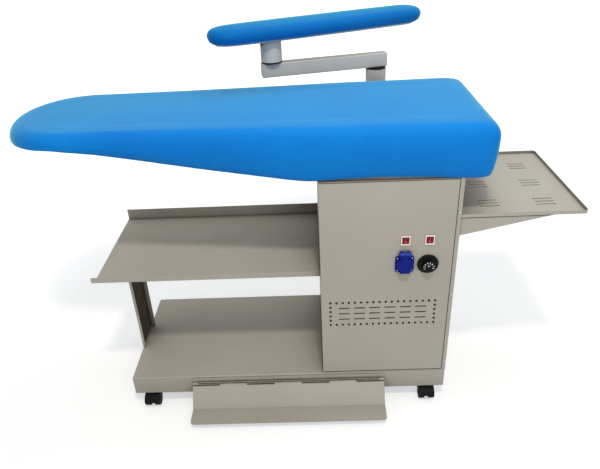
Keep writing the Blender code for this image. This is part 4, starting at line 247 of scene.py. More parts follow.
def cloth(name="blue_woven_cloth", shade=1.0, sheen=1.0, sheen_red=0.38):
    # shade darkens every colour of the cloth, and below 1 it is painted shade
    def dye(*colour):
        return tuple(shade * v for v in srgb(*colour))

    n = Nodes(name)
    pitch = n.scaled((THREAD_SCALE, THREAD_SCALE, THREAD_SCALE))
    weft = n.wave(1.0, pitch, "X")
    warp = n.wave(1.0, pitch, "Y")
    rise = n.wave(1.0, pitch, "Z")
    weave = n.math("ADD", n.math("MULTIPLY", weft, warp), n.math("MULTIPLY", weft, rise))
    broad = n.noise(5.0, 3.0, 0.55)
    thread = n.noise(1.0, 3.0, 0.6, n.scaled((35.0, 420.0, 420.0)))
    base = n.mottled(broad, dye(4, 112, 200), dye(7, 124, 210))
    base = n.mix(n.spread(thread, 0.35, 0.75, 0.0, 0.30), base, dye(24, 142, 220))
    pill = n.spread(n.noise(240.0, 2.0, 0.5), 0.66, 0.74, 0.0, 0.30)
    base = n.mix(pill, base, dye(54, 158, 228))
    rough = n.spread(broad, 0.3, 0.7, 0.62, 0.74)
    height = n.math("ADD", n.math("MULTIPLY", weave, 0.35), thread)
    normal = n.bump(height, 0.00018, 0.8)
    return n.finish(base, rough, normal, Sheen_Weight=sheen, Sheen_Roughness=0.34,
                    Sheen_Tint=(sheen_red, 1.0, 0.80, 1.0), Specular_IOR_Level=0.08)


def foam():
    n = Nodes("open_foam")
    cell = n.add("ShaderNodeTexVoronoi")
    cell.inputs["Scale"].default_value = 700.0
    n.link(n.coords, cell.inputs["Vector"])
    base = n.mottled(n.noise(9.0, 3.0), srgb(222, 206, 176), srgb(236, 224, 198))
    return n.finish(base, 0.92, n.bump(cell.outputs["Distance"], 0.0004, 0.7))


def plastic(name, dark, light, roughness, grain=0.00004, scale=1500.0, **fixed):
    n = Nodes(name)
    base = n.mottled(n.noise(30.0, 3.0), dark, light)
    wear = n.math("MULTIPLY", n.edges(SOFT_EDGE), 0.35)
    base = n.mix(wear, base, tuple(min(1.0, v * 1.6 + 0.02) for v in light))
    rough = n.spread(n.noise(90.0, 3.0), 0.3, 0.7, roughness - 0.05, roughness + 0.06)
    return n.finish(base, rough, n.bump(n.noise(scale, 2.0), grain, 1.0, n.rounded(0.0005)), **fixed)


def cast():
    n = Nodes("cast_aluminium_grey")
    base = n.mottled(n.noise(25.0, 4.0), srgb(168, 169, 170), srgb(196, 197, 197))
    return n.finish(base, 0.42, n.bump(n.noise(500.0, 3.0), 0.0001, 0.8, n.rounded(0.0006)), 0.85)


def heater_steel():
    n = Nodes("heat_tinted_steel")
    base = n.mottled(n.noise(12.0, 3.0), srgb(120, 108, 96), srgb(150, 140, 150))
    return n.finish(base, 0.42, n.bump(n.noise(300.0), 0.00005), 0.85)


SLOTS = {
    "powder_coat": powder_coat(),
    "zinc_steel": zinc(),
    "blue_cloth": cloth(),
    "silicone_foam": foam(),
    "black_plastic": plastic("black_moulded_plastic", srgb(8, 8, 9), srgb(14, 14, 15), 0.55,
                             Specular_IOR_Level=0.12),
    "ivory_plastic": plastic("ivory_moulded_plastic", srgb(226, 222, 214), srgb(238, 235, 228), 0.35),
    "red_plastic": plastic("red_clear_plastic", srgb(122, 4, 16), srgb(148, 7, 24), 0.30, 0.00001,
                           Specular_IOR_Level=0.16, Coat_Weight=0.12, Coat_Roughness=0.12),
    "blue_plastic": plastic("blue_moulded_plastic", srgb(8, 26, 118), srgb(12, 34, 136), 0.44,
                            Specular_IOR_Level=0.12),
    "cast_aluminium": cast(),
    "heater_steel": heater_steel(),
}
# The sleeve board's cover is a darker copy of the board's blue cloth: painted shade
SHADED_SLEEVE_CLOTH = cloth("shaded_blue_woven_cloth", 0.74, 0.85, 0.20)
# The swing arm, its hub, its post and the sleeve board's pan get a lighter copy of the grey paint: painted light
# against the shade that falls on them
ARM_NODES = ("swing_arm", "sleeve_hub", "sleeve_post", "sleeve_pan")
ARM_LIT_COAT = powder_coat("lit_grey_powder_coat", srgb(199, 195, 187), srgb(206, 202, 195))
for entry in frame["record"]["subparts"]:
    paints = nodes[entry["node"]].data.materials
    paints.clear()
    paints.append(ARM_LIT_COAT if entry["node"] in ARM_NODES else SLOTS[entry["material_slot"]])


# Padded board and sleeve board. left, right, axis, half_width and top place the pad, and skirt is the
# full height of its side. nose, power and corner shape the plan, and shoulder, crown, taper, tuck and
# bulge the section. Each row of widths and hem is a share of the length and a share of the half width
# or of the skirt.
QUARTER = math.pi / 2
LEVEL = ((0.0, 1.0), (1.0, 1.0))
board_low, board_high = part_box("board_cover")
sleeve_low, sleeve_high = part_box("sleeve_cover")
swivel = Vector(next(j["pos_m"] for j in frame["joints"] if j["name"] == "sleeve_swivel"))
BOARD = dict(
    left=board_low[0], right=board_high[0] + 0.0060, axis=(board_low[1] + board_high[1]) / 2,
    half_width=(board_high[1] - board_low[1]) / 2,
    top=board_high[2], skirt=board_high[2] - board_low[2],
    nose=0.178, power=2.0, corner=0.030,
    shoulder=0.036, crown=0.0015, taper=0.0085, tuck=0.0015, bulge=0.0025,
    widths=((0.1353, 0.8386), (0.3267, 0.8616), (0.5243, 0.9099), (0.6497, 0.9539), (0.7447, 0.9769),
            (0.8055, 0.9853), (0.8739, 0.9916), (0.9362, 1.0)),
    hem=((0.0, 0.378), (0.0450, 0.340), (0.1140, 0.305), (0.2052, 0.402), (0.2736, 0.511),
         (0.4179, 0.751), (0.6155, 1.020), (0.6459, 1.034), (0.6915, 0.997), (0.7751, 0.965),
         (0.8739, 0.990), (0.9385, 1.036), (1.0, 1.036)))
SLEEVE = dict(
    left=-0.196, right=0.522, axis=0.0, half_width=0.065,
    top=sleeve_high[2], skirt=sleeve_high[2] - sleeve_low[2],
    nose=0.070, power=1.9, corner=0.056,
    shoulder=0.022, crown=0.006, taper=0.010, tuck=0.004, bulge=0.0015,
    widths=((0.0986, 0.90), (0.1803, 0.9692), (0.2648, 1.0), (0.4408, 1.0), (0.6169, 0.9846),
            (0.7718, 0.9538), (0.9155, 0.9077)),
    hem=LEVEL)
# The sleeve board's pad is laid out along X from its swivel and turned to where it stands at rest
SLEEVE_TURN = math.radians(22.5)
sleeve_place = Matrix.Translation((swivel.x, swivel.y, 0.0)) @ Matrix.Rotation(SLEEVE_TURN, 4, "Z")

# Rings inside the hem, by height above it and inset, and then the two rings of its roll
LINING_RISES, LINING_INSET = (0.026, 0.013, 0.0040), 0.0045
ROLL_RISES, ROLL_INSETS = (0.0006, 0.0), (0.0026, 0.0006)
LINING_RINGS = len(LINING_RISES) + len(ROLL_RISES)
# The side begins SIDE_START above the hem, and draws in towards it over TUCKED_SHARE of its height.
# The shoulder stays LINING_DROP above the lining's rings and SIDE_DROP above the side's start
SIDE_START, TUCKED_SHARE = 0.0012, 0.26
LINING_DROP, SIDE_DROP = 0.004, 0.003
PLAN_SMOOTHING, HEM_SMOOTHING = 2, 6
MERGE, TOP_BAND = 0.0004, 0.004      # faces in the top's band show which way is out
# Cloth simulation, and the gap between a cover and its foam
SETTLING_FRAMES, FOAM_PRESSURE, STIFFNESS, BENDING, CLOTH_MASS = 20, 4.0, 12.0, 0.4, 0.25
FOAM_GAP = 0.0032
# Unevenness: noise counts per metre of the swells, and of the creases along and up the side
SWELLS, CREASES_ALONG, CREASES_UP = 7.0, 38.0, 5.0
SWELL_ON_TOP = 0.35      # share of the swells' depth that the top has
SIDE_BEGINS, SIDE_BLEND = 0.006, 0.03      # depths below the top, for the unevenness
# The simulation holds what lies above HELD_CROWN of the crown, less a slack
HELD_CROWN, HELD_SLACK = 0.5, 0.0001


def along(pad, table, x):
    """A share from the pad's table at a distance x along it."""
    share = (np.asarray(x) - pad["left"]) / (pad["right"] - pad["left"])
    return np.interp(share, [row[0] for row in table], [row[1] for row in table])


def width_at(pad, x):
    return pad["half_width"] * along(pad, pad["widths"], x)


def half_plan(pad, steps=40):
    """Points of the plan's far half, from the tip of the nose to the middle of the tail."""
    points = []
    nose_width = width_at(pad, pad["left"] + pad["nose"])
    for step in range(steps):
        angle = QUARTER * step / steps
        points.append((pad["left"] + pad["nose"] * (1 - math.cos(angle) ** (2 / pad["power"])),
                       nose_width * math.sin(angle) ** (2 / pad["power"])))
    last = pad["right"] - pad["corner"]
    for x in np.linspace(pad["left"] + pad["nose"], last, 2 * steps, endpoint=False):
        points.append((x, width_at(pad, x)))
    tail_width = width_at(pad, last)
    for step in range(steps // 2 + 1):
        angle = QUARTER * step / (steps // 2)
        points.append((last + pad["corner"] * math.sin(angle),
                       tail_width - pad["corner"] * (1 - math.cos(angle))))
    points.append((pad["right"], 0.0))
    return np.array(points)


def plan(pad, spacing):
    """Evenly spaced points right round the plan, counted from the tip of the nose."""
    half = half_plan(pad)
    reach = np.concatenate([[0.0], np.cumsum(np.linalg.norm(np.diff(half, axis=0), axis=1))])
    even = np.linspace(0.0, reach[-1], int(round(reach[-1] / spacing)) + 1)
    far = np.stack([np.interp(even, reach, half[:, 0]), np.interp(even, reach, half[:, 1])], axis=1)
    for _ in range(PLAN_SMOOTHING):
        far[1:-1] = (far[:-2] + 2 * far[1:-1] + far[2:]) / 4
    return np.concatenate([far, far[-2:0:-1] * (1.0, -1.0)])


def ring(pad, points, inset, height):
    """One ring of the skin: the plan drawn in by inset, at a height that may differ along it."""
    middle, length = (pad["left"] + pad["right"]) / 2, pad["right"] - pad["left"]
    x = middle + (points[:, 0] - middle) * (length - 2 * inset) / length
    y = pad["axis"] + points[:, 1] * (pad["half_width"] - inset) / pad["half_width"]
    return np.stack([x, y, np.broadcast_to(height, len(points))], axis=1)


def skin_rings(pad, points, spacing, shrink, lining):
    """Rings from inside the hem, round its roll, up the side, over the shoulder and across the top."""
    flat = pad["top"] - shrink - pad["crown"]
    base = flat - pad["shoulder"]
    hem = pad["top"] - pad["skirt"] * along(pad, pad["hem"], points[:, 0])
    for _ in range(HEM_SMOOTHING):
        hem = (np.roll(hem, 1) + 2 * hem + np.roll(hem, -1)) / 4
    rings = []
    if lining:
        low = pad["taper"] + pad["tuck"]
        rings += [ring(pad, points, low + LINING_INSET, np.minimum(hem + rise, base - LINING_DROP))
                  for rise in LINING_RISES]
        rings += [ring(pad, points, low + inset, hem + rise)
                  for inset, rise in zip(ROLL_INSETS, ROLL_RISES)]
    else:
        hem = hem + pad["rise"]
    side_steps = max(5, int(round((pad["skirt"] - pad["shoulder"]) / spacing)))
    for step in range(side_steps):
        up = step / side_steps
        inset = pad["taper"] * (1 - up) + pad["tuck"] * max(0.0, 1 - up / TUCKED_SHARE) ** 2
        inset += shrink - pad["bulge"] * math.sin(math.pi * up)
        start = np.minimum(hem + SIDE_START, base - SIDE_DROP)
        rings.append(ring(pad, points, inset, start + (base - start) * up))
    arc_steps = max(4, int(round(pad["shoulder"] * QUARTER / spacing)))
    for step in range(arc_steps + 1):
        angle = QUARTER * step / arc_steps
        rings.append(ring(pad, points, pad["shoulder"] * (1 - math.cos(angle)) + shrink,
                          base + pad["shoulder"] * math.sin(angle)))
    reach = pad["half_width"] - pad["shoulder"] - shrink
    top_steps = int(round(reach / spacing))
    for step in range(1, top_steps + 1):
        share = step / top_steps
        rings.append(ring(pad, points, pad["shoulder"] + shrink + reach * share,
                          flat + pad["crown"] * (1 - (1 - share) ** 2)))
    return rings


def skin(name, pad, spacing, place, shrink=0.0, lining=True):
    """A mesh over the pad: with a lining it is cloth, open below, and without one a closed body."""
    points = plan(pad, spacing)
    rings = skin_rings(pad, points, spacing, shrink, lining)
    count = len(points)
    faces = []
    for low in range(0, (len(rings) - 1) * count, count):
        for step in range(count):
            after = (step + 1) % count
            faces.append((low + after, low + step, low + count + step, low + count + after))
    if not lining:
        faces.append(tuple(range(count)))
    mesh = bpy.data.meshes.new(name)
    mesh.from_pydata([place @ Vector(v) for v in np.concatenate(rings)], [], faces)
    bm = bmesh.new()
    bm.from_mesh(mesh)
    bmesh.ops.remove_doubles(bm, verts=bm.verts, dist=MERGE)
    bmesh.ops.recalc_face_normals(bm, faces=bm.faces)
    upper = [face for face in bm.faces if face.calc_center_median().z > pad["top"] - TOP_BAND]
    if sum(face.normal.z * face.calc_area() for face in upper) < 0:
        bmesh.ops.reverse_faces(bm, faces=bm.faces)
    for face in bm.faces:
        face.smooth = True
    bm.to_mesh(mesh)
    bm.free()
    piece = bpy.data.objects.new(name, mesh)
    bpy.context.scene.collection.objects.link(piece)
    return piece


def coordinates(mesh):
    flat = np.empty(3 * len(mesh.vertices))
    mesh.vertices.foreach_get("co", flat)
    return flat.reshape(-1, 3)


def inflate(piece, held, cap):
    """Cloth simulation: the foam pushes the skin out, held points stay, and no point passes its cap."""
    rest = coordinates(piece.data)
    group = piece.vertex_groups.new(name="held")
    group.add([int(i) for i in np.nonzero(held)[0]], 1.0, "REPLACE")
    fabric = piece.modifiers.new("cloth", "CLOTH")
    fabric.settings.quality = 6
    fabric.settings.mass = CLOTH_MASS
    fabric.settings.tension_stiffness = STIFFNESS
    fabric.settings.compression_stiffness = STIFFNESS
    fabric.settings.bending_stiffness = BENDING
    fabric.settings.use_pressure = True
    fabric.settings.uniform_pressure_force = FOAM_PRESSURE
    fabric.settings.vertex_group_mass = "held"
    fabric.settings.effector_weights.gravity = 0.0
    fabric.collision_settings.use_collision = False
    fabric.point_cache.frame_start, fabric.point_cache.frame_end = 1, SETTLING_FRAMES
    scene = bpy.context.scene
    for step in range(1, SETTLING_FRAMES + 1):
        scene.frame_set(step)
    settled = piece.evaluated_get(bpy.context.evaluated_depsgraph_get()).to_mesh()
    move = coordinates(settled) - rest
    piece.modifiers.remove(fabric)
    scene.frame_set(1)
    normals = np.array([v.normal[:] for v in piece.data.vertices])
    out = np.maximum((move * normals).sum(axis=1), 0.0)
    settled_spots = rest + normals * (cap * np.tanh(out / cap))[:, None]
    piece.data.vertices.foreach_set("co", settled_spots.ravel())
    piece.data.update()
    piece.vertex_groups.clear()


def undulate(piece, pad, broad, tight, seed):
    """Faint unevenness of stretched cloth: broad swells, and short creases that run up the side."""
    spots = coordinates(piece.data)
    normals = np.array([v.normal[:] for v in piece.data.vertices])
    side = np.clip((pad["top"] - SIDE_BEGINS - spots[:, 2]) / SIDE_BLEND, 0.0, 1.0)
    for index, (spot, normal) in enumerate(zip(spots, normals)):
        place = Vector(spot)
        swell = noise.noise(place * SWELLS + Vector((seed, 0.0, 0.0)))
        crease = noise.noise(Vector((spot[0] * CREASES_ALONG, spot[1] * CREASES_ALONG,
                                     spot[2] * CREASES_UP + seed)))
        share = SWELL_ON_TOP + (1 - SWELL_ON_TOP) * side[index]
        rise = broad * swell * share + tight * crease * side[index]
        spots[index] += normal * rise
    piece.data.vertices.foreach_set("co", spots.ravel())
    piece.data.update()


def cover(name, pad, spacing, place, body, node, caps, broad, tight, seed, material):
    """A cloth cover. caps are the most that the foam may push it out, on the top and on the side."""
    piece = skin(name, pad, spacing, place)
    heights = coordinates(piece.data)[:, 2]
    held = heights > pad["top"] - HELD_CROWN * pad["crown"] - HELD_SLACK
    held[:LINING_RINGS * len(plan(pad, spacing))] = True
    on_side = np.clip((pad["top"] - 0.5 * pad["shoulder"] - heights) / pad["shoulder"], 0.0, 1.0)
    inflate(piece, held, caps[0] + (caps[1] - caps[0]) * on_side)
    undulate(piece, pad, broad, tight, seed)
    smooth = piece.modifiers.new("smooth", "SUBSURF")
    smooth.levels = smooth.render_levels = 1
    piece.data.materials.append(material)
    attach(piece, body)
    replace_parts(piece, node)
    return piece


board_cloth = cover("board_cover_cloth", BOARD, 0.010, Matrix(), "frame", "board_cover",
                    caps=(0.0006, 0.004), broad=0.0009, tight=0.0005, seed=3.0,
                    material=SLOTS["blue_cloth"])
sleeve_cloth = cover("sleeve_cover_cloth", SLEEVE, 0.006, sleeve_place, "sleeve_board", "sleeve_cover",
                     caps=(0.0004, 0.0018), broad=0.0005, tight=0.0003, seed=11.0,
                     material=SHADED_SLEEVE_CLOTH)


def pad_of_foam(name, pad, spacing, place, body, node):
    low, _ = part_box(node)
    pad = dict(pad, rise=low[2] - (pad["top"] - pad["skirt"]), hem=LEVEL, tuck=0.0, bulge=0.0)
    piece = skin(name, pad, spacing, place, shrink=FOAM_GAP, lining=False)
    piece.data.materials.append(SLOTS["silicone_foam"])
    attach(piece, body)
    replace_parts(piece, node)


pad_of_foam("board_foam_pad", BOARD, 0.022, Matrix(), "frame", "board_foam")
pad_of_foam("sleeve_foam_pad", SLEEVE, 0.014, sleeve_place, "sleeve_board", "sleeve_foam")


# Small parts set onto the solids. Their places count in metres from the corner that at() uses
FULL = 2 * math.pi
CREASE = math.radians(35)
FRONT, BACK, RIGHT = (0.0, -1.0, 0.0), (0.0, 1.0, 0.0), (1.0, 0.0, 0.0)
depsgraph = bpy.context.evaluated_depsgraph_get()


def aim(direction):
    """A turn that brings the local Z to a direction."""
    return Vector(direction).to_track_quat("Z", "Y").to_matrix().to_4x4()


def bridge(bm, rings):
    """Faces between each ring of vertices and the next."""
    for low, high in zip(rings, rings[1:]):
        for step in range(len(low)):
            after = (step + 1) % len(low)
            bm.faces.new((low[step], low[after], high[after], high[step]))


def close_ends(bm, rings):
    bm.faces.new(rings[0][::-1])
    bm.faces.new(rings[-1])


def turned(bm, profile, place, segments=20):
    """A surface of revolution about the local Z, from rows of radius and height."""
    rings = [[bm.verts.new(place @ Vector((radius * math.cos(FULL * step / segments),
                                           radius * math.sin(FULL * step / segments), height)))
              for step in range(segments)] for radius, height in profile]
    bridge(bm, rings)
    return rings


def closed_turn(bm, profile, place, segments=20):
    close_ends(bm, turned(bm, profile, place, segments))


def hoop(bm, section, place, segments=20):
    """A ring of revolution whose section is closed on itself."""
    turned(bm, list(section) + [section[0]], place, segments)


def rod(bm, path, radius, segments=8):
    """A round-ended bead along a path; a radius may be given for each point."""
    path = [Vector(point) for point in path]
    radii = radius if isinstance(radius, (list, tuple)) else [radius] * len(path)
    rings = []
    for index, point in enumerate(path):
        along_path = (path[min(index + 1, len(path) - 1)] - path[max(index - 1, 0)]).normalized()
        side = along_path.cross(Vector((0.0, 0.0, 1.0)))
        if side.length < 0.2:
            side = along_path.cross(Vector((0.0, 1.0, 0.0)))
        side.normalize()
        up = side.cross(along_path)
        # Shift along the path and share of the radius, in radii
        ends = [(0.0, 1.0)]
        if index == 0:
            ends = [(-0.9, 0.35), (-0.6, 0.8), (0.0, 1.0)]
        elif index == len(path) - 1:
            ends = [(0.0, 1.0), (0.6, 0.8), (0.9, 0.35)]
        for shift, share in ends:
            middle = point + along_path * radii[index] * shift
            rings.append([bm.verts.new(
                middle + (side * math.cos(FULL * step / segments)
                          + up * math.sin(FULL * step / segments)) * radii[index] * share)
                for step in range(segments)])
    bridge(bm, rings)
    close_ends(bm, rings)


def add_piece(name, bm, slot, body, material=None):
    """Ends a mesh: a smooth piece with sharp creases, which rides on a body."""
    bmesh.ops.remove_doubles(bm, verts=bm.verts, dist=0.000002)
    bmesh.ops.recalc_face_normals(bm, faces=bm.faces)
    for face in bm.faces:
        face.smooth = True
    mesh = bpy.data.meshes.new(name)
    bm.to_mesh(mesh)
    bm.free()
    mesh.set_sharp_from_angle(angle=CREASE)
    item = bpy.data.objects.new(name, mesh)
    bpy.context.scene.collection.objects.link(item)
    mesh.materials.append(material or SLOTS[slot])
    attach(item, body)
    return item


# Screws with a socket in a low domed head, as rows of radius and height
SCREW = ((0.0042, 0.0), (0.0042, 0.0007), (0.0036, 0.0016), (0.0025, 0.0020), (0.0018, 0.0020),
         (0.0016, 0.0006))
SMALL_SCREW = tuple((radius * 0.5, height * 0.6) for radius, height in SCREW)


def screws(name, body, spots, direction, profile=SCREW, slot="zinc_steel"):
    bm = bmesh.new()
    for spot in spots:
        closed_turn(bm, profile, Matrix.Translation(spot) @ aim(direction), 14)
    add_piece(name, bm, slot, body)


# The front panel's right edge
PANEL_SCREW_X, PANEL_SCREW_HEIGHTS = 0.9822, (0.150, 0.405, 0.671)
screws("panel_screws", "frame", [at(PANEL_SCREW_X, 0.0, z) for z in PANEL_SCREW_HEIGHTS], FRONT)
# The back panel's edges: its left and right columns, and the middle of its lower and upper edges
BACK_FACE = 0.4243
BACK_SCREWS = ((0.6185, 0.135), (0.798, 0.1335), (0.9775, 0.135), (0.6185, 0.443), (0.9775, 0.443),
               (0.6185, 0.752), (0.798, 0.756), (0.9775, 0.752))
screws("back_panel_screws", "frame", [at(x, BACK_FACE, z) for x, z in BACK_SCREWS], BACK)
# The gussets' flanges on the cabinet's right wall
TRAY_SCREW_X, TRAY_SCREW_DEPTHS, TRAY_SCREW_Z = 0.9895, (0.030, 0.400), 0.628
screws("tray_screws", "frame", [at(TRAY_SCREW_X, y, TRAY_SCREW_Z) for y in TRAY_SCREW_DEPTHS], RIGHT)
# The corners of the iron socket's flange
SOCKET_X, SOCKET_Z, SOCKET_FACE, SOCKET_SIDE, SOCKET_RISE = 0.843, 0.515, -0.0033, 0.0205, 0.0200
screws("socket_screws", "frame", [at(SOCKET_X + side, SOCKET_FACE, SOCKET_Z + rise)
                                  for side in (-SOCKET_SIDE, SOCKET_SIDE)
                                  for rise in (-SOCKET_RISE, SOCKET_RISE)], FRONT, SMALL_SCREW)
# The set screw in the sleeve board's hub
HUB_RADIUS, HUB_SCREW_DROP, HUB_SCREW_SUNK = 0.033, 0.011, 0.0006
hub_low, hub_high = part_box("sleeve_hub")
hub_middle = (hub_low + hub_high) / 2
grub = Vector((-0.80, -0.60, 0.0))
grub_spot = Vector((hub_middle.x, hub_middle.y, hub_high[2] - HUB_SCREW_DROP))
screws("hub_screw", "sleeve_board", [grub_spot + grub * (HUB_RADIUS - HUB_SCREW_SUNK)], grub,
       slot="black_plastic")

# Cap over the lid's hinge
CAP_HALF, CAP_FACE, CAP_Z, CAP_RADIUS = 0.0125, -0.0105, 0.552, 0.0056
bm = bmesh.new()
rod(bm, [at(SOCKET_X + CAP_HALF * share, CAP_FACE, CAP_Z) for share in (-1.0, -0.5, 0.0, 0.5, 1.0)],
    CAP_RADIUS, 16)
add_piece("socket_hinge_cap", bm, "blue_plastic", "lid",
          plastic("blue_hinge_plastic", srgb(22, 52, 150), srgb(32, 66, 168), 0.4,
                  Specular_IOR_Level=0.2))

# Rivets along the pedal hinge's leaf, and a dark uneven bead at its knuckles: painted shade in the hinge's gap
RIVET = ((0.0030, 0.0), (0.0028, 0.0007), (0.0018, 0.0014), (0.0006, 0.0016))
RIVETS, RIVET_START, RIVET_PITCH, RIVET_FACE, RIVET_Z = 15, 0.206, 0.0413, -0.0018, 0.1015
bm = bmesh.new()
for step in range(RIVETS):
    x = RIVET_START + RIVET_PITCH * step
    closed_turn(bm, RIVET, Matrix.Translation(at(x, RIVET_FACE, RIVET_Z)) @ aim(FRONT), 12)
add_piece("hinge_rivets", bm, "powder_coat", "frame")
GAP_SHADE_FROM, GAP_SHADE_TO, GAP_SHADE_FACE, GAP_SHADE_Z = 0.2080, 0.7830, -0.0100, 0.0932
bm = bmesh.new()
joint = [at(x, GAP_SHADE_FACE, GAP_SHADE_Z + 0.0011 * noise.noise(Vector((x * 60.0, 0.0, 5.0))))
         for x in np.linspace(GAP_SHADE_FROM, GAP_SHADE_TO, 150)]
rod(bm, joint, [0.0009 + 0.0008 * abs(noise.noise(Vector((index * 0.37, 2.0, 0.0))))
                for index in range(len(joint))], 6)
add_piece("hinge_gap_shade_line", bm, "black_plastic", "frame")

# Dark beads painted as the shade in the seams at the right, top and bottom of the front panel, and under the iron
# rest's front edge
SEAM, REST_SEAM = 0.0008, 0.0012
PANEL_LEFT, PANEL_RIGHT, PANEL_SEAM_X, PANEL_FACE = 0.6095, 0.9745, 0.9763, -0.0002
PANEL_LOW, PANEL_HIGH, TOP_SEAM_Z, LOW_SEAM_Z, LOW_SEAM_FACE = 0.1215, 0.7690, 0.7699, 0.1203, -0.0003
REST_LEFT, REST_RIGHT, REST_FACE, REST_SEAM_Z = 0.9900, 1.2300, 0.0034, 0.6532
bm = bmesh.new()
rod(bm, [at(PANEL_SEAM_X, PANEL_FACE, z) for z in np.linspace(PANEL_LOW, PANEL_HIGH, 20)], SEAM)
rod(bm, [at(x, PANEL_FACE, TOP_SEAM_Z) for x in np.linspace(PANEL_LEFT, PANEL_RIGHT, 20)], SEAM)
rod(bm, [at(x, LOW_SEAM_FACE, LOW_SEAM_Z) for x in np.linspace(PANEL_LEFT, PANEL_RIGHT, 20)], SEAM)
rod(bm, [at(x, REST_FACE, REST_SEAM_Z) for x in np.linspace(REST_LEFT, REST_RIGHT, 16)], REST_SEAM)
add_piece("panel_seam_shade_bead", bm, "black_plastic", "frame")

# Pressed eyelets round the border of the vent
EYELET = ((0.0025, -0.0002), (0.0025, 0.0004), (0.0031, 0.0007), (0.0037, 0.0004), (0.0037, -0.0002))
VENT_LEFT, VENT_RIGHT, VENT_COLUMNS = 0.634, 0.938, 18
VENT_LOW, VENT_HIGH, VENT_ROWS = 0.3055, 0.3850, 6
bm = bmesh.new()
for column in range(VENT_COLUMNS):
    for row in range(VENT_ROWS):
        if column in (0, VENT_COLUMNS - 1) or row in (0, VENT_ROWS - 1):
            x = VENT_LEFT + (VENT_RIGHT - VENT_LEFT) * column / (VENT_COLUMNS - 1)
            z = VENT_LOW + (VENT_HIGH - VENT_LOW) * row / (VENT_ROWS - 1)
            hoop(bm, EYELET, Matrix.Translation(at(x, 0.0, z)) @ aim(FRONT), 12)
add_piece("vent_eyelets", bm, "black_plastic", "frame")

# Pedal spring: a wound wire with flat end turns
SPRING_RADIUS, SPRING_WIRE, SPRING_TURNS, SPRING_STEPS, SPRING_KEPT = 0.0074, 0.0007, 4, 24, 0.79
SPRING_FLAT, SPRING_ACTIVE = 0.10, 0.80      # shares of the wire in one end turn and between the two
spring_low, spring_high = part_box("pedal_spring")
spring_middle = Vector(((spring_low[0] + spring_high[0]) / 2, 0.0,
                        (spring_low[2] + spring_high[2]) / 2))
spring_start, spring_end = spring_low[1] + SPRING_WIRE, spring_high[1] - SPRING_WIRE
path = []
for step in range(SPRING_STEPS * SPRING_TURNS + 1):
    share = step / (SPRING_STEPS * SPRING_TURNS)
    angle = FULL * SPRING_TURNS * share
    wound = min(1.0, max(0.0, (share - SPRING_FLAT) / SPRING_ACTIVE))
    path.append(spring_middle + Vector((SPRING_RADIUS * math.cos(angle), spring_start
                                        + (spring_end - spring_start) * wound,
                                        SPRING_RADIUS * math.sin(angle))))
bm = bmesh.new()
rod(bm, path, SPRING_WIRE, 8)
spring = add_piece("pedal_spring_coil", bm, "zinc_steel", "frame")
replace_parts(spring, "pedal_spring")
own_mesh(spring)

# Upright: a channel with rounded folds
UPRIGHT_SHEET, FRONT_FLANGE, BACK_FLANGE, FOLD = 0.002, 0.0085, 0.016, 0.0016
upright_low, upright_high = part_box("left_upright")


def channel(bm, low, high, front_flange, back_flange, sheet, fold):
    """A sheet channel between two corners that opens towards +X, with rounded outer folds."""
    front, back = low[1], high[1]
    outline = [(front_flange, front), (front_flange, front + sheet), (sheet, front + sheet),
               (sheet, back - sheet), (back_flange, back - sheet), (back_flange, back)]
    for corner_x, corner_y, start in ((fold, back - fold, 1), (fold, front + fold, 2)):
        outline += [(corner_x + fold * math.cos(QUARTER * (start + step / 3)),
                     corner_y + fold * math.sin(QUARTER * (start + step / 3))) for step in range(4)]
    ends = [[bm.verts.new((low[0] + u, v, w)) for u, v in outline] for w in (low[2], high[2])]
    bridge(bm, ends)
    close_ends(bm, ends)


bm = bmesh.new()
channel(bm, upright_low, upright_high, FRONT_FLANGE, BACK_FLANGE, UPRIGHT_SHEET, FOLD)
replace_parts(add_piece("upright_channel", bm, "powder_coat", "frame"), "left_upright")

# A dark sheet in the upright, with an uneven face: painted shade inside the channel
SHADE_SHEET_THICK, SHADE_SHEET_WAVE, SHADE_SHEET_WAVES = 0.0016, 0.35, 45
SHADE_SHEET_ROWS, SHADE_SHEET_COLUMNS, SHADE_SHEET_EDGE_Z, SHADE_SHEET_EDGE_Y = 40, 16, 0.004, 0.0035
bm = bmesh.new()
faces_of_sheet = [[], []]
for z in np.linspace(upright_low[2] + SHADE_SHEET_EDGE_Z, upright_high[2] - SHADE_SHEET_EDGE_Z, SHADE_SHEET_ROWS):
    for sheet, offset in zip(faces_of_sheet, (0.0, SHADE_SHEET_THICK)):
        row = []
        for y in np.linspace(upright_low[1] + SHADE_SHEET_EDGE_Y, upright_high[1] - SHADE_SHEET_EDGE_Y,
                             SHADE_SHEET_COLUMNS):
            uneven = noise.noise(Vector((y * SHADE_SHEET_WAVES, z * SHADE_SHEET_WAVES, 3.0)))
            x = upright_low[0] + UPRIGHT_SHEET + offset * (1 + SHADE_SHEET_WAVE * uneven)
            row.append(bm.verts.new((x, y, z)))
        sheet.append(row)
for sheet in faces_of_sheet:
    for low_row, high_row in zip(sheet, sheet[1:]):
        for index in range(SHADE_SHEET_COLUMNS - 1):
            bm.faces.new((low_row[index], low_row[index + 1], high_row[index + 1], high_row[index]))
bridge(bm, [sheet[0] + [row[-1] for row in sheet[1:]] + sheet[-1][-2::-1]
            + [row[0] for row in sheet[-2:0:-1]] for sheet in faces_of_sheet])
add_piece("upright_shade_sheet", bm, "black_plastic", "frame",
          plastic("upright_shade_paint", srgb(66, 57, 46), srgb(80, 70, 58), 0.75, 0.0003, 300.0,
                  Specular_IOR_Level=0.1))

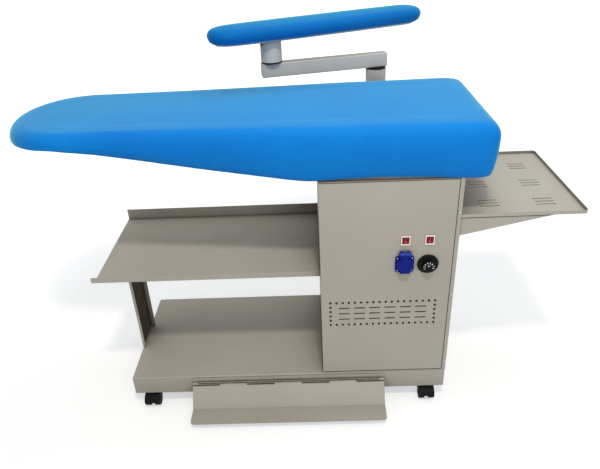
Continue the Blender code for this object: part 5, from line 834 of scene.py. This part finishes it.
# Rolled lips under the iron rest's slots, which come in groups of three
TRAY_LEFT, TRAY_LENGTH, TRAY_FRONT, TRAY_DEPTH, TRAY_UNDERSIDE = 0.9882, 0.337, 0.002, 0.426, 0.6542
SLOT_COLUMNS, SLOT_ROWS, SLOT_PITCH = (0.273, 0.730), (0.1831, 0.4695, 0.7559), 0.017
LIP_START, LIP_RADIUS, LIP_HALF_LENGTH, LIP_STEPS = 0.0031, 0.0042, 0.028, 6
LIP_THICK_Y, LIP_THICK_Z = 0.0008, 0.0002
bm = bmesh.new()
for share_x in SLOT_COLUMNS:
    for share_y in SLOT_ROWS:
        for step in (-1, 0, 1):
            x = TRAY_LEFT + TRAY_LENGTH * share_x
            y = TRAY_FRONT + TRAY_DEPTH * share_y + SLOT_PITCH * step
            rolled = []
            for turn_step in range(LIP_STEPS + 1):
                angle = QUARTER * turn_step / LIP_STEPS
                rolled.append((y + LIP_START - LIP_RADIUS * (1 - math.cos(angle)),
                               TRAY_UNDERSIDE - LIP_RADIUS * math.sin(angle)))
            section = rolled + [(b + LIP_THICK_Y, c + LIP_THICK_Z) for b, c in reversed(rolled)]
            ends = [[bm.verts.new(at(x + side, b, c)) for b, c in section]
                    for side in (-LIP_HALF_LENGTH, LIP_HALF_LENGTH)]
            bridge(bm, ends)
            close_ends(bm, ends)
add_piece("tray_slot_lips", bm, "powder_coat", "frame")

# Washers under the base round each caster's stem, and the caps on the wheels' axles
CASTER_COLUMNS, CASTER_ROWS, BASE_UNDERSIDE = (0.053, 0.935), (0.026, 0.396), 0.0461
WASHER = ((0.0092, 0.0), (0.0150, 0.0), (0.0150, 0.0012), (0.0138, 0.0018), (0.0092, 0.0018))
bm = bmesh.new()
for x in CASTER_COLUMNS:
    for y in CASTER_ROWS:
        hoop(bm, WASHER, Matrix.Translation(at(x, y, BASE_UNDERSIDE)))
add_piece("caster_washers", bm, "zinc_steel", "frame")
CAP = ((0.0090, -0.0004), (0.0090, 0.0006), (0.0078, 0.0013), (0.0052, 0.0013), (0.0046, 0.0006),
       (0.0018, 0.0006))
RIB = ((0.0196, -0.0004), (0.0196, 0.0004), (0.0172, 0.0008), (0.0160, -0.0004))
for side in ("left", "right"):
    for end in ("front", "rear"):
        low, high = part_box("caster_%s_%s_wheel" % (end, side))
        bm = bmesh.new()
        for edge, way in ((low[0], -1.0), (high[0], 1.0)):
            middle = Vector((edge, (low[1] + high[1]) / 2, (low[2] + high[2]) / 2))
            place = Matrix.Translation(middle) @ aim((way, 0.0, 0.0))
            closed_turn(bm, CAP, place, 20)
            hoop(bm, RIB, place, 28)
        add_piece("caster_%s_%s_caps" % (end, side), bm, "black_plastic", "wheel_%s_%s" % (end, side))

# Marks: numbers and a pointer on the front of the dial's grip, and the rockers' signs
MARK = 0.00012
mark_paint = plastic("white_mark_paint", srgb(226, 226, 220), srgb(238, 238, 233), 0.5)


def lettering(bm, text, size, place):
    curve = bpy.data.curves.new("mark", "FONT")
    curve.body = text
    curve.size = size
    curve.align_x = curve.align_y = "CENTER"
    curve.extrude = MARK
    curve.offset = 0.00022
    curve.resolution_u = 3
    item = bpy.data.objects.new("mark", curve)
    mesh = bpy.data.meshes.new_from_object(item)
    mesh.transform(place)
    bm.from_mesh(mesh)
    bpy.data.meshes.remove(mesh)
    bpy.data.objects.remove(item)
    bpy.data.curves.remove(curve)


def plate_mark(bm, length, width, place):
    """A thin flat stroke with chamfered ends, centred on its place in the local XY plane."""
    half, side, cut = length / 2, width / 2, width / 4
    outline = [(-half + cut, -side), (half - cut, -side), (half, -side + cut), (half, side - cut),
               (half - cut, side), (-half + cut, side), (-half, side - cut), (-half, -side + cut)]
    ends = [[bm.verts.new(place @ Vector((u, v, w))) for u, v in outline] for w in (-MARK, MARK)]
    bridge(bm, ends)
    close_ends(bm, ends)


# Local X runs to the right and local Y up on a face that looks to the front
FACE = Matrix(((1.0, 0.0, 0.0), (0.0, 0.0, -1.0), (0.0, 1.0, 0.0))).to_4x4()
DIAL = Matrix.Translation(at(0.908, -0.0192, 0.513)) @ FACE
NUMBERS, FIRST_NUMBER_DEGREES, NUMBER_STEP_DEGREES = 8, 205, 32.0
NUMBER_SIZE, NUMBER_RADIUS = 0.0068, 0.0128
# The pointer is a V of two strokes
POINTER_LENGTH, POINTER_WIDTH, POINTER_LEAN = 0.0060, 0.0014, 28
POINTER_SHIFT, POINTER_RISE = 0.0022, 0.0010
bm = bmesh.new()
for number in range(1, NUMBERS + 1):
    degrees = FIRST_NUMBER_DEGREES - NUMBER_STEP_DEGREES * (number - 1)
    spin = Matrix.Rotation(math.radians(degrees), 4, "Z")
    lettering(bm, str(number), NUMBER_SIZE, DIAL @ spin @ Matrix.Translation((NUMBER_RADIUS, 0.0, MARK))
              @ Matrix.Rotation(-QUARTER, 4, "Z"))
for lean in (-POINTER_LEAN, POINTER_LEAN):
    plate_mark(bm, POINTER_LENGTH, POINTER_WIDTH,
               DIAL @ Matrix.Translation((0.0, POINTER_RISE, MARK))
               @ Matrix.Rotation(math.radians(90 + lean), 4, "Z")
               @ Matrix.Translation((POINTER_SHIFT, 0.0, 0.0)))
add_piece("dial_scale", bm, "ivory_plastic", "dial", mark_paint)


def front_of(node, x, z):
    """Where a line along +Y at x, z first meets a node, in the row frame."""
    tree = BVHTree.FromObject(nodes[node], depsgraph)
    start = at(x, -0.2, z)
    hit = tree.ray_cast(start, Vector((0.0, 1.0, 0.0)))[0]
    return hit if hit else start


# A stroke on the upper half of each rocker and a ring on the lower half
STROKE_Z, STROKE_LENGTH, STROKE_WIDTH, RING_Z = 0.5948, 0.0028, 0.0006, 0.5852
RING_MARK = ((0.0010, -MARK), (0.0010, MARK), (0.0015, MARK), (0.0015, -MARK))
for use, x in (("vacuum", 0.843), ("heat", 0.909)):
    bm = bmesh.new()
    stroke_spot = front_of("switch_rocker_" + use, x, STROKE_Z)
    plate_mark(bm, STROKE_LENGTH, STROKE_WIDTH,
               Matrix.Translation(stroke_spot) @ FACE @ Matrix.Rotation(QUARTER, 4, "Z"))
    ring_spot = front_of("switch_rocker_" + use, x, RING_Z)
    hoop(bm, RING_MARK, Matrix.Translation(ring_spot) @ aim(FRONT), 20)
    add_piece("rocker_%s_marks" % use, bm, "ivory_plastic", use + "_rocker", mark_paint)


# Weld beads: the post on its elbow, and the upright on the base and under the shelf
def weld(bm, path, size, seed):
    radii = [size * (1.0 + 0.25 * math.sin(2.1 * index + seed)
                     + 0.15 * noise.noise(Vector((index * 0.9, seed, 0.0))))
             for index in range(len(path))]
    rod(bm, path, radii, 6)


POST_WELD_RADIUS, POST_WELD_RISE, POST_WELD_SIZE, POST_WELD_STEPS = 0.0333, 0.0006, 0.0022, 72
UPRIGHT_WELD_X, UPRIGHT_WELD_SIZE = 0.0022, 0.0016
BASE_DECK, SHELF_UNDERSIDE, UPRIGHT_WELD_RISE = 0.1143, 0.4647, 0.0004
bm = bmesh.new()
post_low, post_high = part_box("sleeve_post")
post_middle = Vector(((post_low[0] + post_high[0]) / 2, (post_low[1] + post_high[1]) / 2, post_low[2]))
weld(bm, [post_middle + Vector((POST_WELD_RADIUS * math.cos(FULL * step / POST_WELD_STEPS),
                                POST_WELD_RADIUS * math.sin(FULL * step / POST_WELD_STEPS),
                                POST_WELD_RISE)) for step in range(POST_WELD_STEPS + 1)],
     POST_WELD_SIZE, 1.0)
for z in (BASE_DECK + UPRIGHT_WELD_RISE, SHELF_UNDERSIDE - UPRIGHT_WELD_RISE):
    weld(bm, [at(UPRIGHT_WELD_X, y, z) for y in np.linspace(0.153, 0.264, 26)], UPRIGHT_WELD_SIZE, 2.0)
add_piece("weld_beads", bm, "powder_coat", "frame")

STITCH_PITCH, THREAD_RADIUS = 0.0052, 0.00038
STITCH_SHARES, STITCH_LIFTS = (0.18, 0.5, 0.82), (0.0001, 0.0003, 0.0001)


def stitches(name, cover_piece, pad, place, body, rise):
    """A row of stitches that lies on a cover, at a height above its hem."""
    points = plan(pad, 0.004)
    hem = pad["top"] - pad["skirt"] * along(pad, pad["hem"], points[:, 0])
    track = ring(pad, points, pad["taper"], hem + rise)
    tree = BVHTree.FromObject(cover_piece, bpy.context.evaluated_depsgraph_get())
    closed = np.vstack([track, track[:1]])
    reach = np.concatenate([[0.0], np.cumsum(np.linalg.norm(np.diff(closed, axis=0), axis=1))])
    count = int(reach[-1] / STITCH_PITCH)
    bm = bmesh.new()
    for step in range(count):
        ends = []
        for share, lift in zip(STITCH_SHARES, STITCH_LIFTS):
            where = reach[-1] * (step + share) / count
            spot = place @ Vector([np.interp(where, reach, closed[:, axis]) for axis in range(3)])
            hit, normal, _, _ = tree.find_nearest(spot)
            ends.append(hit + normal * lift)
        rod(bm, ends, THREAD_RADIUS, 5)
    add_piece(name, bm, "blue_cloth", body, cover_piece.data.materials[0])


stitches("board_hem_stitches", board_cloth, BOARD, Matrix(), "frame", 0.015)
stitches("sleeve_hem_stitches", sleeve_cloth, SLEEVE, sleeve_place, "sleeve_board", 0.010)

# Floor, world and lights
FLOOR_HALF, FLOOR_DROP = 30.0, 0.0005
FLOOR_PAINT, FLOOR_GLOW = (0.64, 0.64, 0.645, 1.0), (0.98, 0.985, 1.0, 1.0)
WORLD_LIGHT, WORLD_SEEN = 0.47, 1.0
floor_mesh = bpy.data.meshes.new("studio_floor")
floor_bm = bmesh.new()
bmesh.ops.create_grid(floor_bm, x_segments=1, y_segments=1, size=FLOOR_HALF)
floor_bm.to_mesh(floor_mesh)
floor_bm.free()
floor = bpy.data.objects.new("studio_floor", floor_mesh)
floor.location = (0.0, 0.0, -FLOOR_DROP)
bpy.context.scene.collection.objects.link(floor)


def seen_directly(tree):
    """1 for camera, glossy and transmission rays and 0 for the light that falls on things."""
    path = tree.nodes.new("ShaderNodeLightPath")
    total = path.outputs["Is Camera Ray"]
    for name in ("Is Glossy Ray", "Is Transmission Ray"):
        add = tree.nodes.new("ShaderNodeMath")
        add.operation = "MAXIMUM"
        tree.links.new(total, add.inputs[0])
        tree.links.new(path.outputs[name], add.inputs[1])
        total = add.outputs[0]
    return total


floor_material = bpy.data.materials.new("studio_floor")
floor_material.use_nodes = True
floor_tree = floor_material.node_tree
floor_shader = floor_tree.nodes["Principled BSDF"]
floor_shader.inputs["Base Color"].default_value = FLOOR_PAINT
floor_shader.inputs["Roughness"].default_value = 1.0
floor_shader.inputs["Specular IOR Level"].default_value = 0.0
floor_shader.inputs["Emission Color"].default_value = FLOOR_GLOW
place_on_floor = floor_tree.nodes.new("ShaderNodeTexCoord")
distance = floor_tree.nodes.new("ShaderNodeVectorMath")
distance.operation = "LENGTH"
floor_tree.links.new(place_on_floor.outputs["Object"], distance.inputs[0])
# The floor shows white by itself, more so away from the table, and keeps the shadow under it
glow = floor_tree.nodes.new("ShaderNodeMapRange")
for key, value in (("From Min", 1.0), ("From Max", 2.2), ("To Min", 0.50), ("To Max", 1.0)):
    glow.inputs[key].default_value = value
floor_tree.links.new(distance.outputs["Value"], glow.inputs["Value"])
lift = floor_tree.nodes.new("ShaderNodeMath")
lift.operation = "MULTIPLY"
floor_tree.links.new(seen_directly(floor_tree), lift.inputs[0])
floor_tree.links.new(glow.outputs["Result"], lift.inputs[1])
floor_tree.links.new(lift.outputs[0], floor_shader.inputs["Emission Strength"])
floor.data.materials.append(floor_material)

world = bpy.data.worlds.new("studio")
bpy.context.scene.world = world
world.use_nodes = True
back = world.node_tree.nodes["Background"]
back.inputs["Color"].default_value = (1.0, 1.0, 1.0, 1.0)
strength = world.node_tree.nodes.new("ShaderNodeMapRange")
strength.inputs["To Min"].default_value = WORLD_LIGHT
strength.inputs["To Max"].default_value = WORLD_SEEN
world.node_tree.links.new(seen_directly(world.node_tree), strength.inputs["Value"])
world.node_tree.links.new(strength.outputs["Result"], back.inputs["Strength"])


def lamp(name, place, target, size, power, colour):
    data = bpy.data.lights.new(name, "AREA")
    data.shape = "RECTANGLE"
    data.size, data.size_y = size
    data.energy = power
    data.color = colour
    item = bpy.data.objects.new(name, data)
    item.location = place
    item.rotation_euler = (Vector(target) - Vector(place)).to_track_quat("-Z", "Y").to_euler()
    bpy.context.scene.collection.objects.link(item)


# The key stands as steep as the board's shadow on the shelf shows. The fill lights the front from the
# right, and the overhead lamp the board's top, the iron rest and the arm
lamp("key", (0.20, -1.66, 3.30), (0.0, 0.0, 0.45), (0.30, 0.22), 42.0, (1.0, 0.935, 0.830))
lamp("fill", (0.55, -2.10, 1.70), (0.30, 0.0, 0.75), (1.2, 0.8), 13.5, (0.87, 0.95, 1.0))
lamp("overhead", (0.35, 0.60, 2.50), (0.18, 0.05, 0.90), (1.2, 0.8), 12.3, (0.92, 0.99, 0.96))
